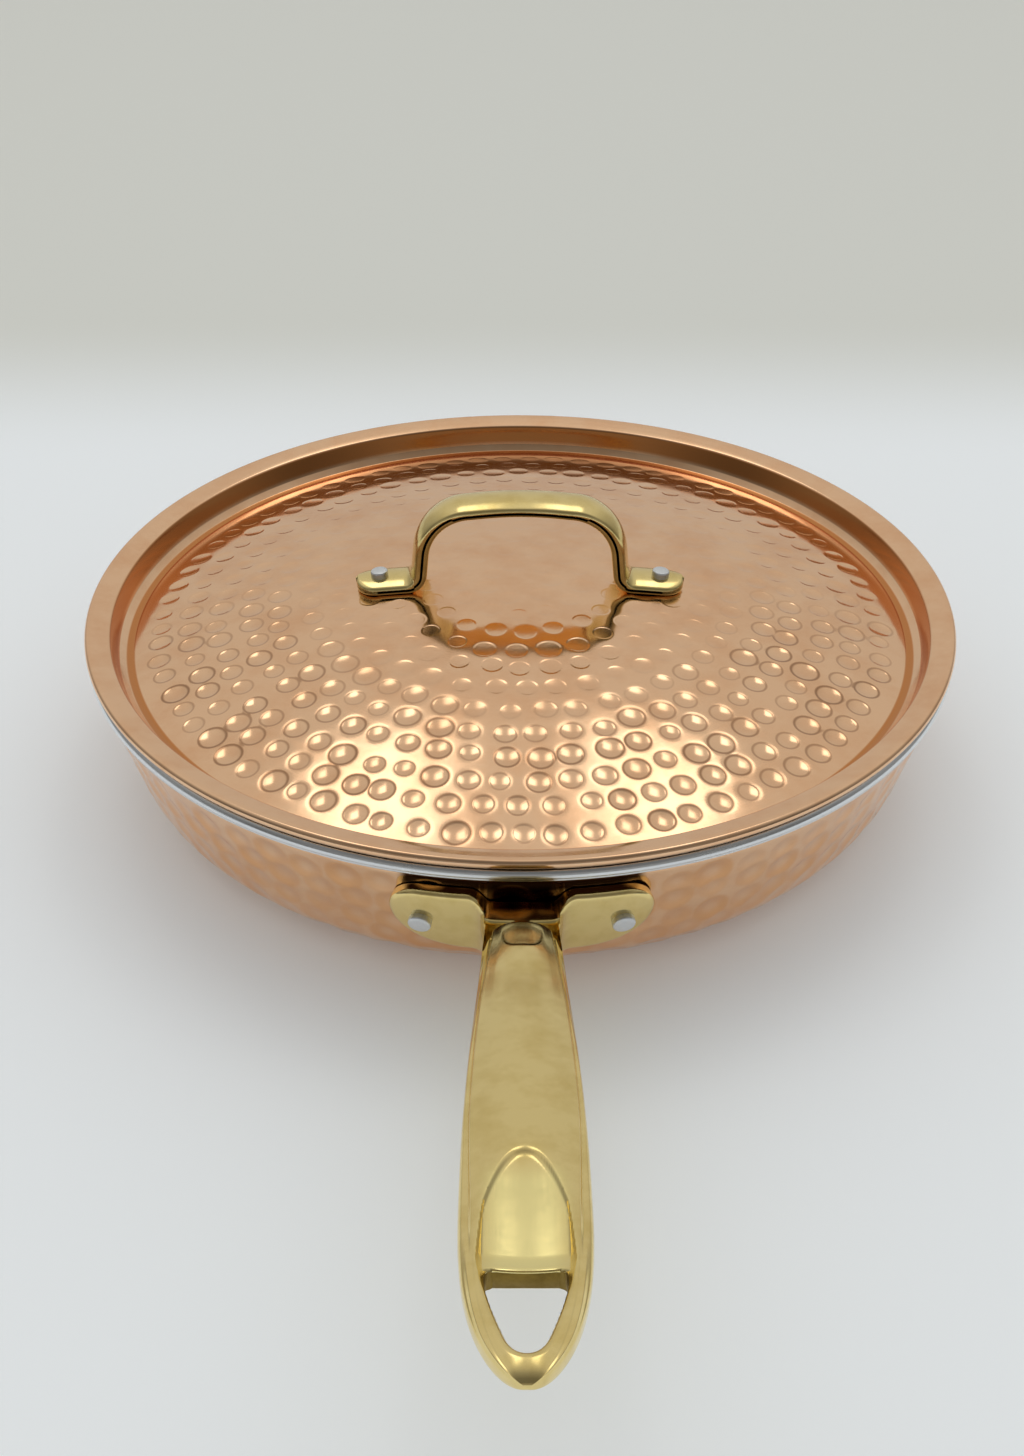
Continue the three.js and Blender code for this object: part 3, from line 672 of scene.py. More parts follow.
def in_ring(low, high, soft=0.3):
    """Where the ring between two radii in millimetres is, with soft sides."""
    def where(tree, place_of):
        radius = add(tree, "ShaderNodeSeparateXYZ", links={0: polar(tree, place_of)}).outputs["X"]
        return soft_steps(tree, [between(tree, radius, low, high, soft)])
    return where


def in_marks(start, peak, end, near, far):
    """Where painted shade lies in hammer marks: from the start share of a mark's radius, most at the peak
    share and gone at the end share, under hard blows only, and fading from a near to a far place along Y."""
    soft_blow, hard_blow, most = 0.4, 1.1, 0.72

    def where(tree, place_of):
        mark = add(tree, "ShaderNodeAttribute", {"attribute_name": "mark"}).outputs["Fac"]
        blow = add(tree, "ShaderNodeAttribute", {"attribute_name": "blow"}).outputs["Fac"]
        back = add(tree, "ShaderNodeSeparateXYZ", links={0: place_of}).outputs["Y"]
        hard = add(tree, "ShaderNodeMapRange",
                   {"From Min": soft_blow, "From Max": hard_blow, "To Max": most}, {"Value": blow})
        shown = soft_steps(tree, [(mark, start, peak, 0.0, 1.0), (mark, end, 1.0, 0.0, 1.0),
                                  (back, far * MM, near * MM, 0.0, 1.0)])
        # The share of painted shade in the marks.
        mark_shade = add(tree, "ShaderNodeMath", {"operation": "MULTIPLY"}, {0: shown, 1: hard.outputs[0]})
        return mark_shade.outputs[0]
    return where


# How a pattern of lines is drawn out: round the Z axis, along the Y axis or not at all
LINE_SCALES = {"round": (1, 0.05, 1), "along": (1, 0.04, 1), "none": (1, 1, 1)}


def metal(bright, dark, rough, grain, lines_run, haze, waviness, fine=0.0022, rim=0, tints=()):
    """A worked metal: dark in patches of haze, with fine lines from its polishing and a slow waviness.
    grain is the width of the lines, haze that of the patches, and waviness, fine and rim are the heights of
    the waves, of the lines and of the edge round a hammer mark, all in millimetres. tints lists further
    colours, each with a function that gives where it lies."""
    material, tree, output = new_material("metal")
    place_of = add(tree, "ShaderNodeTexCoord").outputs["Object"]
    lines_at = polar(tree, place_of) if lines_run == "round" else place_of
    lines_map = add(tree, "ShaderNodeMapping", {"Scale": LINE_SCALES[lines_run]}, {"Vector": lines_at})
    lines = add(tree, "ShaderNodeTexNoise", {"Scale": 1 / (grain * MM), "Detail": 3.0, "Roughness": 0.6},
                {"Vector": lines_map.outputs[0]})
    patches = add(tree, "ShaderNodeTexNoise", {"Scale": 1 / (haze * MM), "Detail": 5.0, "Roughness": 0.62},
                  {"Vector": place_of})
    amount = add(tree, "ShaderNodeMapRange", {"From Min": 0.42, "From Max": 0.72},
                 {"Value": patches.outputs[0]})
    shade = add(tree, "ShaderNodeMix", {"data_type": "RGBA", 6: bright, 7: dark},
                {"Factor": amount.outputs[0]})
    for tone, where in tints:
        shade = add(tree, "ShaderNodeMix", {"data_type": "RGBA", 7: tone},
                    {"Factor": where(tree, place_of), 6: shade.outputs[2]})
    worn = add(tree, "ShaderNodeMapRange", {"From Min": 0.3, "From Max": 0.75, "To Min": rough * 0.75,
                                            "To Max": rough * 1.55}, {"Value": patches.outputs[0]})
    streak = add(tree, "ShaderNodeMapRange", {"From Min": 0.3, "From Max": 0.7, "To Min": -rough * 0.18,
                                              "To Max": rough * 0.18}, {"Value": lines.outputs[0]})
    roughness = add(tree, "ShaderNodeMath", {"operation": "ADD"},
                    {0: worn.outputs[0], 1: streak.outputs[0]})
    slow = add(tree, "ShaderNodeTexNoise", {"Scale": 1 / (6 * MM), "Detail": 2.0}, {"Vector": place_of})
    waves = add(tree, "ShaderNodeBump", {"Strength": 1.0, "Distance": waviness * MM},
                {"Height": slow.outputs[0]})
    bumps = add(tree, "ShaderNodeBump", {"Strength": 1.0, "Distance": fine * MM},
                {"Height": lines.outputs[0], "Normal": waves.outputs[0]})
    if rim:
        mark = add(tree, "ShaderNodeAttribute", {"attribute_name": "mark"}).outputs["Fac"]
        bumps = add(tree, "ShaderNodeBump", {"Strength": 1.0, "Distance": rim * MM},
                    {"Height": soft_steps(tree, [(mark, 0.76, 1.0, 0.0, 1.0)]), "Normal": bumps.outputs[0]})
    shader = add(tree, "ShaderNodeBsdfPrincipled", {"Metallic": 1.0}, {
        "Base Color": shade.outputs[2], "Roughness": roughness.outputs[0], "Normal": bumps.outputs[0]})
    tree.links.new(shader.outputs[0], output.inputs[0])
    return material


def polished_copper():
    """Spun and polished copper: a mirror with faint turning lines, gone orange where hands have been. It has
    a dark brown painted shade between and over the ears, and a little painted shade of orange in the marks."""
    f = bpy.context.scene.finishes
    # Painted shade: dark brown on the copper between and over the ears.
    shade_between_ears = in_box((-9, -140, 33), (9, -110, 60), 1.2)
    shade_over_ears = in_box((-31, -140, 40.6), (31, -100, 60), 1.5)
    everywhere = (130, 200)
    # Painted shade: a darker orange inside the marks on the wall.
    shade_in_dents = in_marks(0.1, 0.8, 1.35, *everywhere)
    return metal(f.copper, f.copper_dark, 0.13, 0.35, "round", 16, 0.02, rim=0.03,
                 tints=[(f.dull, shade_between_ears), (f.dull, shade_over_ears), (f.copper_wall, shade_in_dents)])


def lid_copper():
    """The same copper, with a brown painted shade in the rims of the front marks, and a deep orange painted
    reflection on the recess wall and in the trough."""
    f = bpy.context.scene.finishes
    s = lid_shape()
    # Painted reflection: deep orange on the recess wall and in the trough.
    reflection_on_recess_wall = in_ring(s["bead"] + 0.2, s["recess"] + 0.1)
    reflection_in_trough = in_ring(s["dome"] - 0.6, s["trough"] - 0.1)
    front_half = (-40, 20)
    # Painted shade: dark brown rims on the marks of the front half.
    shade_in_round_dents = in_marks(0.8, 0.97, 1.14, *front_half)
    return metal(f.copper, f.copper_dark, 0.11, 0.35, "round", 16, 0.02, rim=0.05,
                 tints=[(f.copper_deep, reflection_on_recess_wall), (f.copper_deep, reflection_in_trough),
                        (f.copper_crease, shade_in_round_dents)])


def brass_as_cast():
    """Cast brass that no file has reached, inside the hanging hole: dull and brown from its mould."""
    f = bpy.context.scene.finishes
    return metal(f.brass_cast, f.brass_cast, 0.45, 0.6, "none", 5, 0.08)


def polished_brass():
    """Cast brass, filed along its length and buffed: a soft mirror, cloudy where hands have been, with a
    brown painted shade behind and before the ridge between the ears, and a painted highlight in the scoop."""
    f = bpy.context.scene.finishes
    # Painted shade: dark brown on the shelf behind and in front of the ridge between the ears.
    shade_behind_ridge = in_box((-8, -132, 30), (8, -100, 38), 1.2)
    shade_before_ridge = in_box((-7, -142.5, 30), (7, -138, 38), 1.2)
    # Painted highlight: pale brass over the scoop's floor.
    highlight_in_scoop = in_box((-7.5, -270, 40), (7.5, -243, 90), 3.5)
    return metal(f.brass, f.brass_dark, 0.15, 0.4, "along", 11, 0.03, fine=0.0008,
                 tints=[(f.dull, shade_behind_ridge), (f.dull, shade_before_ridge), (f.brass_worn, highlight_in_scoop)])


def satin_steel():
    """Stainless steel turned to a satin: fine lines round the pan."""
    f = bpy.context.scene.finishes
    return metal(f.steel, f.steel, 0.2, 0.25, "round", 30, 0.01)


def drawn_aluminium():
    """Aluminium wire, cut and hammered over: dull and finely pitted."""
    f = bpy.context.scene.finishes
    return metal(f.aluminium, f.aluminium, 0.42, 0.5, "none", 3, 0.12)


def finish_of(make):
    """The material that a function makes, made once and named after it."""
    if make.__name__ not in bpy.data.materials:
        make().name = make.__name__
    return bpy.data.materials[make.__name__]


def dress(obj, make, body, slot, *nodes):
    """Gives a finished piece its material and seats it on its body in place of its nodes. The slot is not
    used.
    """
    obj.data.materials.clear()
    obj.data.materials.append(finish_of(make))
    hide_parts(*nodes)
    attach(obj, body)


class MakePanCopper(bpy.types.Operator):
    """The pan's copper body, with shallow hammer marks round its wall"""
    bl_idname = "frying_pan.pan_copper"
    bl_label = "Pan copper"

    def execute(self, context):
        s = pan_shape()
        cell, plain_cell = 1.1, 12
        plain_steps, fine_steps = 180, 680
        outer = pan_line(s, 0, s["copper_top"], steps=30)
        inner = pan_line(s, s["copper"], s["copper_top"], steps=12)
        edge = rounded([outer[-2], outer[-1], inner[-1], inner[-2]], [s["copper_edge"]] * 2, steps=3)
        base = spaced([outer[0], (outer[1][0] - cell, 0)], plain_cell)
        wall = spaced(outer[1:-1] + edge[:-1], cell)
        inside = spaced(inner[-2::-1], gap=15)
        obj = turned_solid("pan_copper", [(base, plain_steps), (wall, fine_steps), (inside, plain_steps)])
        self.hammer_wall(obj, s, math.dist(outer[-1], outer[-2]))
        dress(obj, polished_copper, "pan", "hammered_copper", "pan_copper_shell")
        return {"FINISHED"}

    def hammer_wall(self, obj, s, wall_length):
        """Hammers the wall and the upper part of the corner. Places along the section are measured from the
        edge of the flat base."""
        h = sizes(bpy.context.scene.hammer_marks)
        foot = s["corner"] * (math.pi / 2 + s["lean"])
        count = round(2 * math.pi * s["rim_radius"] / h["wall_spacing"])
        rings = []
        along = foot + wall_length - h["wall_edge"]
        while along > foot - h["wall_foot"]:
            rings.append((along, s["rim_radius"], count))
            along -= h["wall_pitch"]
        tolerance = 0.2
        below_edge = 1
        corner_height = 20
        beside_base = 8

        def face(p):
            flat = flat_radius(p)
            out, up = flat - s["base"], p[:, 2] - s["corner"]
            depth = out * math.cos(s["lean"]) + up * math.sin(s["lean"])
            on_wall = (depth > s["corner"] - tolerance) & (p[:, 2] < s["copper_top"] - below_edge)
            on_corner = (np.hypot(out, up) > s["corner"] - tolerance) & (out > beside_base)
            return on_wall | on_corner & (p[:, 2] < corner_height)

        def along_of(p):
            out, up = flat_radius(p) - s["base"], p[:, 2] - s["corner"]
            angle = np.arctan2(up, out)
            on_wall = foot + (up - s["corner"] * math.sin(s["lean"])) / math.cos(s["lean"])
            return np.where(angle < s["lean"], s["corner"] * (angle + math.pi / 2), on_wall)

        marks = marks_on(rings, h, h["wall_width"], h["wall_wander"], seed=11)
        hammered(obj, face, along_of, marks, h["wall_depth"])


class MakePanSteel(bpy.types.Operator):
    """The pan's steel lining, with its rolled and grooved rim"""
    bl_idname = "frying_pan.pan_steel"
    bl_label = "Pan steel"

    def execute(self, context):
        s = pan_shape()
        face = s["copper"] + s["bond"]
        low = s["height"] - s["rim_height"]
        middle = s["height"] - s["rim_height"] / 2
        crown = s["rim_radius"] - s["rim_overhang"]
        outer = pan_line(s, face, low, steps=16)
        inner = pan_line(s, face + s["steel"], middle, steps=24)
        bead = self.bead(s, crown, middle)
        bead[0] = (max(crown, outer[-1][0]), low)
        turn_in = (inner[-1][0], middle + s["inner_round"])
        inside = rounded([bead[-1], turn_in, inner[-2]], [s["inner_round"]])[1:]
        line = outer + bead + inside + inner[-3::-1]
        obj = turned_solid("pan_steel", [(spaced(line, gap=6), 400)])
        dress(obj, satin_steel, "pan", "stainless_steel", "pan_steel_liner")
        return {"FINISHED"}

    def bead(self, s, crown, middle):
        """The rim's outside: half an oval with a groove just under its widest line."""
        steps = 24
        groove_at, groove_spread = -0.35, 0.16
        line = []
        for i in range(steps + 1):
            angle = math.pi * (i / steps - 0.5)
            dip = s["rim_groove"] * math.exp(-((angle - groove_at) / groove_spread) ** 2)
            line.append((crown + (s["rim_overhang"] - dip) * math.cos(angle),
                         middle + s["rim_height"] / 2 * math.sin(angle)))
        return line


class MakeLidCopper(bpy.types.Operator):
    """The lid's copper, spun to a brim and a dome that is hammered in rings"""
    bl_idname = "frying_pan.lid_copper"
    bl_label = "Lid copper"

    def execute(self, context):
        s = lid_shape()
        cell = 0.86
        brim = lid_brim(s)
        roll = arc((s["flange_end"], s["top"] - s["edge"] / 2), s["edge"] / 2, 90, -90, steps=12)
        under = offset(dome_line(s, 0, s["dome"] - LID_MARGIN, gap=12) + brim[1:], s["copper"])
        hem_gap = 0.4
        hem = (under[-1][0] + hem_gap, s["top"] - s["edge"])
        parts = []
        start = 0
        for end, steps in [(24, 180), (48, 380), (78, 600), (s["dome"] - s["lap"] - 0.9, 860)]:
            parts.append((dome_line(s, start, end, cell), steps))
            start = end + cell
        outside = spaced(brim + roll[1:] + [hem], gap=2.2)
        obj = turned_solid("lid_copper", parts + [(outside, 360), (under[::-1], 160)])
        hammer_dome(obj, s, 0, sizes(context.scene.hammer_marks)["depth"])
        dress(obj, lid_copper, "lid", "hammered_copper", "lid_copper_shell")
        return {"FINISHED"}


class MakeLidSteel(bpy.types.Operator):
    """The lid's steel lining, on whose underside the hammer marks show as low bumps"""
    bl_idname = "frying_pan.lid_steel"
    bl_label = "Lid steel"

    def execute(self, context):
        s = lid_shape()
        brim = lid_brim(s)[1:]
        back = s["bond"] + s["steel"]
        brim[-1] = tuple(Vector(brim[-1]) + (Vector(brim[-2]) - Vector(brim[-1])).normalized() * back)
        over = offset(dome_line(s, 0, s["dome"] - LID_MARGIN, gap=10) + brim, s["copper"] + s["bond"])
        under = offset(dome_line(s, 0, s["dome"] - LID_MARGIN, gap=1.3) + brim, s["copper"] + back)
        obj = turned_solid("lid_steel", [(over, 160), (under[::-1], 480)])
        hammer_dome(obj, s, s["copper"] + back, -sizes(context.scene.hammer_marks)["depth"] / 2)
        dress(obj, satin_steel, "lid", "stainless_steel", "lid_steel_liner")
        return {"FINISHED"}


def ring_loft(name, rings):
    """A closed tube through a square number of rings and one more, with points in millimetres: a cylinder
    that is cut twice, each time into as many parts, and whose rings are then placed."""
    rings = np.asarray(rings)
    number, count = rings.shape[:2]
    alone()
    bpy.ops.mesh.primitive_cylinder_add(vertices=count, radius=1, depth=1, end_fill_type="NOTHING",
                                        location=(0, 0, 0.5))
    obj = bpy.context.object
    obj.name = name
    bpy.ops.object.transform_apply(location=True)
    bpy.ops.object.mode_set(mode="EDIT")
    parts = math.isqrt(number - 1)
    for cut_into in (1, parts):
        select_where(obj, "EDGE", lambda p: abs(p[2] * MM * cut_into % 1 - 0.5) < 0.1)
        bpy.ops.mesh.subdivide(number_cuts=parts - 1)
    bpy.ops.object.mode_set(mode="OBJECT")
    points = coordinates(obj) * MM
    ring = np.rint(points[:, 2] * (number - 1)).astype(int)
    place_round = np.rint(np.arctan2(points[:, 1], points[:, 0]) / (2 * np.pi) * count).astype(int) % count
    place(obj, rings[ring, place_round])
    alone(obj)
    bpy.ops.object.mode_set(mode="EDIT")
    bpy.ops.mesh.select_mode(type="EDGE")
    bpy.ops.mesh.select_all(action="DESELECT")
    bpy.ops.mesh.select_non_manifold()
    bpy.ops.mesh.edge_face_add()
    bpy.ops.object.mode_set(mode="OBJECT")
    close_up(obj)
    return obj


def evenly(line, count):
    """A line as a number of evenly spaced points."""
    line = np.asarray(line, float)
    walked = np.concatenate([[0], np.cumsum(np.linalg.norm(np.diff(line, axis=0), axis=1))])
    at = np.linspace(0, walked[-1], count)
    return np.column_stack([np.interp(at, walked, line[:, k]) for k in range(line.shape[1])])


def smooth_through(points, parts):
    """A smooth line through points, with as many parts between each two of them."""
    p = np.array(points, float)
    padded = np.vstack([2 * p[0] - p[1], p, 2 * p[-1] - p[-2]])
    fine = []
    for a, b, c, d in zip(padded, padded[1:], padded[2:], padded[3:]):
        for t in np.linspace(0, 1, parts, endpoint=False):
            fine.append(0.5 * (2 * b + (c - a) * t + (2 * a - 5 * b + 4 * c - d) * t ** 2
                               + (3 * b - a - 3 * c + d) * t ** 3))
    return np.array(fine + [p[-1]])


def grip_top(g, distance):
    """Height of the long handle's top line at a level distance from the wall: a quadratic curve, lifted near
    the neck."""
    control_along, control_up = 0.4, 0.72  # shares of the reach and the rise
    bend = 2 * control_along
    along = np.clip(distance / g["reach"], 0, 1)
    t = (math.sqrt(bend ** 2 + 4 * (1 - bend) * along) - bend) / (2 * (1 - bend))
    curve = (2 * t * (1 - t) * control_up + t * t) * g["rise"]
    return g["neck_top"] + neck_lift(g, distance) + curve


def neck_lift(g, distance):
    """How far the top line near the neck lies above that curve."""
    blend = 6
    before = g["neck_run"] - distance
    return g["neck_slope"] * (math.hypot(before, blend) + before) / 2


def grip_half(g, distance):
    """Half the width of the long handle at a level distance from the wall."""
    body = g["reach"] - g["tip"]
    swell = math.sin(math.pi / 2 * min(max(distance / body, 0), 1)) ** 1.5
    half = g["neck_width"] / 2 + (g["width"] - g["neck_width"]) / 2 * swell
    closing = min(max((distance - body) / g["tip"], 0), 1)
    return half * (1 - closing ** g["tip_full"]) ** g["tip_point"]


def step_between(low, high, distance):
    """A soft step along the handle, as a plain number."""
    return float(smooth_step(low, high, distance))


# Points of the grip's section: shares of the half width and of a height, from the middle of the top face out
FACE_SHARES = [(0, 0), (0.2, 0.04), (0.4, 0.16), (0.56, 0.32), (0.7, 0.5), (0.81, 0.68), (0.9, 0.83),
               (0.96, 0.92), (1, 1)]
GROOVE_SHARES = [(0.12, 0.14), (0.5, 0.85), (0.8, 1), (1.1, 0.98)]
UNDER_SHARES = [(0.985, 0.4), (0.9, 0.8), (0.74, 0.95), (0.4, 1), (0, 1)]


def grip_ring(g, distance):
    """A ring of the long handle: crowned top face, groove beside it, rounded side and flat underside. Depths
    are counted down from the top line."""
    half = max(grip_half(g, distance), 0.02)
    near = 1 - min(max(distance / g["reach"], 0), 1)
    closing = max(0, 1 - (g["reach"] - distance) / g["tip"])
    round_off = math.sqrt(max(1e-4, 1 - closing ** 9))
    depth = g["depth"] + (g["neck_depth"] - g["depth"]) * near ** 2.5
    depth += (g["tip_depth"] - g["depth"]) * closing ** 2 + neck_lift(g, distance)
    deep = depth * round_off
    full = half / (g["width"] / 2)
    crown = g["crown"] * full * round_off
    widest = crown + 0.42 * (deep - crown)
    right = face_points(g, distance, half, full, crown)
    groove_end, groove_floor = right[-1]
    opens, closes = (45, 80), (126, 150)
    grooved = step_between(*opens, distance) * (1 - step_between(*closes, distance))
    side_shares = [(0.45, 0.22 - 0.17 * grooved), (0.8, 0.36 - 0.12 * grooved), (0.96, 0.58), (1, 1)]
    right += [(groove_end + (half - groove_end) * across, groove_floor + (widest - groove_floor) * down)
              for across, down in side_shares]
    right += [(half * across, widest + (deep - widest) * down) for across, down in UNDER_SHARES]
    side = smooth_through(right, 4)
    ring = np.vstack([side, (side * [-1, 1])[-2:0:-1]])
    top = grip_top(g, distance) - depth * (1 - round_off) / 2
    return ring[:, 0], top - ring[:, 1]


def face_points(g, distance, half, full, crown):
    """Half of the crowned top face and the groove beside it. Near the neck the groove is narrow and deep."""
    neck_ends, widens, narrows, shallows = (35, 75), (8, 50), (90, 130), (120, 145)
    steep = 1 - step_between(*neck_ends, distance)
    face = half * (0.7 + 0.17 * step_between(*widens, distance) - 0.07 * step_between(*narrows, distance))
    groove = g["groove"] * min(1, 1.2 * full) * (1 + 0.9 * steep)
    groove *= 1 - 0.9 * step_between(*shallows, distance)
    wide = min(g["groove_width"], (0.55 - 0.2 * steep) * (half - face))
    points = [(face * across, crown * down) for across, down in FACE_SHARES]
    return points + [(face + wide * across, crown + groove * down) for across, down in GROOVE_SHARES]


def ring_places(g, number):
    """Places of the rings along the handle, closer together at the neck, the hole and the tip."""
    end = g["reach"]
    place_of = np.linspace(0, end, 2000)
    neck_ends, scoop_nears, tip_length = (22, 42), (95, 115), 2.5
    at_neck = 1.6 * (1 - smooth_step(*neck_ends, place_of))
    at_hole = 1.2 * smooth_step(*scoop_nears, place_of)
    at_tip = 3 * smooth_step(end - tip_length, end, place_of)
    weight = 1 + at_neck + at_hole + at_tip
    walked = np.concatenate([[0], np.cumsum((weight[1:] + weight[:-1]) / 2)])
    return np.interp(np.linspace(0, walked[-1], number), walked, place_of)


def bent(start, control, end, steps):
    """Points of a quadratic curve, past its start."""
    t = np.linspace(0, 1, steps + 1)[1:, None]
    points = (1 - t) ** 2 * np.array(start) + 2 * t * (1 - t) * np.array(control) + t ** 2 * np.array(end)
    return [tuple(p) for p in points]


def hole_outline(g, root):
    """The hanging hole: straight across at the scoop and narrowing in a curve to its round nose."""
    half, corner, nose, end = g["hole_width"] / 2, g["hole_corner"], g["hole_nose"], -g["hole_length"]
    right = [(0, 0), (half - corner, 0)]
    right += bent(right[-1], (half, 0), (half, -corner), 6)
    right += bent(right[-1], (half, end * g["hole_side"]), (nose, end + nose), 14)
    right += bent(right[-1], (nose * g["hole_full"], end), (0, end), 10)
    left = [(-x, y) for x, y in right[-2:0:-1]]
    shift = -root - g["hole_start"]
    return np.array([(x, y + shift) for x, y in right + left])


def distance_to(outline, points):
    """Distance of flat points from a closed outline, negative inside."""
    best = np.full(len(points), 1e9)
    inside = np.zeros(len(points), bool)
    for a, b in zip(outline, np.roll(outline, -1, axis=0)):
        along = b - a
        t = np.clip(((points - a) @ along) / max(along @ along, 1e-12), 0, 1)
        best = np.minimum(best, np.linalg.norm(points - a - t[:, None] * along, axis=1))
        crosses = (a[1] > points[:, 1]) != (b[1] > points[:, 1])
        step = along[1] if abs(along[1]) > 1e-12 else 1e-12
        inside ^= crosses & (points[:, 0] < a[0] + (points[:, 1] - a[1]) * along[0] / step)
    return np.where(inside, -best, best)


def carve_grip(g, root, points):
    """Carves the nose, the thumb mark, the scoop and the rounded lips of the hole into the long handle."""
    x, y, z = points.T
    side = np.abs(x)
    distance = -y - root
    middle = np.array([grip_top(g, d) for d in distance])
    upper_depth, fade = 3.4, 2.4
    low = middle - g["crown"] - upper_depth
    upper = z > low
    z = z - nose_fall(g, side, distance, middle) * smooth_step(low, low + fade, z)
    z = z - thumb_mark(g, side, distance) * upper
    floor = scoop_floor(g, side, distance, z)
    before_scoop, soft_edge = 20, 0.5
    by_scoop = upper & (distance > g["scoop_start"] - before_scoop)
    z = np.where(by_scoop, smooth_min(z, floor, soft_edge), z)
    gap = distance_to(hole_outline(g, root), np.column_stack([x, y]))
    lip = g["hole_lip"] * (0.5 + 0.6 * smooth_step(g["hole_start"], g["hole_start"] + 6, distance))
    inward = np.clip(lip - gap, 0, lip)
    drop = lip - np.sqrt(np.maximum(lip ** 2 - inward ** 2, 0))
    z = np.where(upper, z - drop, z + 0.8 * drop)
    return np.column_stack([x, y, z])


def scoop_floor(g, side, distance, z):
    """Height of the scoop's floor under points of the top face: nearly level, hollow, with rails at its
    sides, a sharp end and a rise beside the hole."""
    end_height = grip_top(g, g["scoop_start"])
    slope, hollow_depth, rail_side, end_depth, end_edge, before_hole = 0.005, 1.1, 8.2, 0.75, 0.45, 4
    level = slope * (distance - g["scoop_start"])
    hollow = hollow_depth * (2 * side / g["scoop_width"]) ** 2
    rails = 0.9 * np.maximum(side - rail_side, 0) ** 1.4
    floor = end_height + level + hollow + rails
    sharp_end = end_depth * smooth_step(0, end_edge, z - floor)
    beside_hole = 0.2 * np.maximum(distance - g["hole_start"] + before_hole, 0) ** 1.3
    return floor - sharp_end + beside_hole


def nose_fall(g, side, distance, top):
    """How far the face outside the tongue-shaped top face lies below it, down to a shelf between the ears."""
    fullness = 4.5
    share_of = np.minimum(side, 0.7 * g["neck_width"]) / g["nose_half"]
    edge = g["nose"] + share_of ** fullness
    slope = fullness / g["nose_half"] * share_of ** (fullness - 1)
    shelf_ends, step_side = (20, 34), (-1.1, 0.3)
    fall = np.maximum(top - (g["ear_top"] - g["notch"]), 0) * (1 - smooth_step(*shelf_ends, distance))
    return fall * (1 - smooth_step(*step_side, (distance - edge) / np.hypot(1, slope)))


def thumb_mark(g, side, distance):
    """A shallow recess behind the nose, open towards the pan, with a round end."""
    half_width, length, depth = 5, 9, 0.34
    behind_nose, sinks_in = 2.5, (1.5, 9)
    edge_shares = (-0.09, 0.02)
    from_start = np.maximum(distance - g["nose"] - behind_nose, 0)
    outside = ((side / half_width) ** 4 + (from_start / length) ** 4) ** 0.25 - 1
    start = smooth_step(g["nose"] + sinks_in[0], g["nose"] + sinks_in[1], distance)
    return depth * start * (1 - smooth_step(*edge_shares, outside))


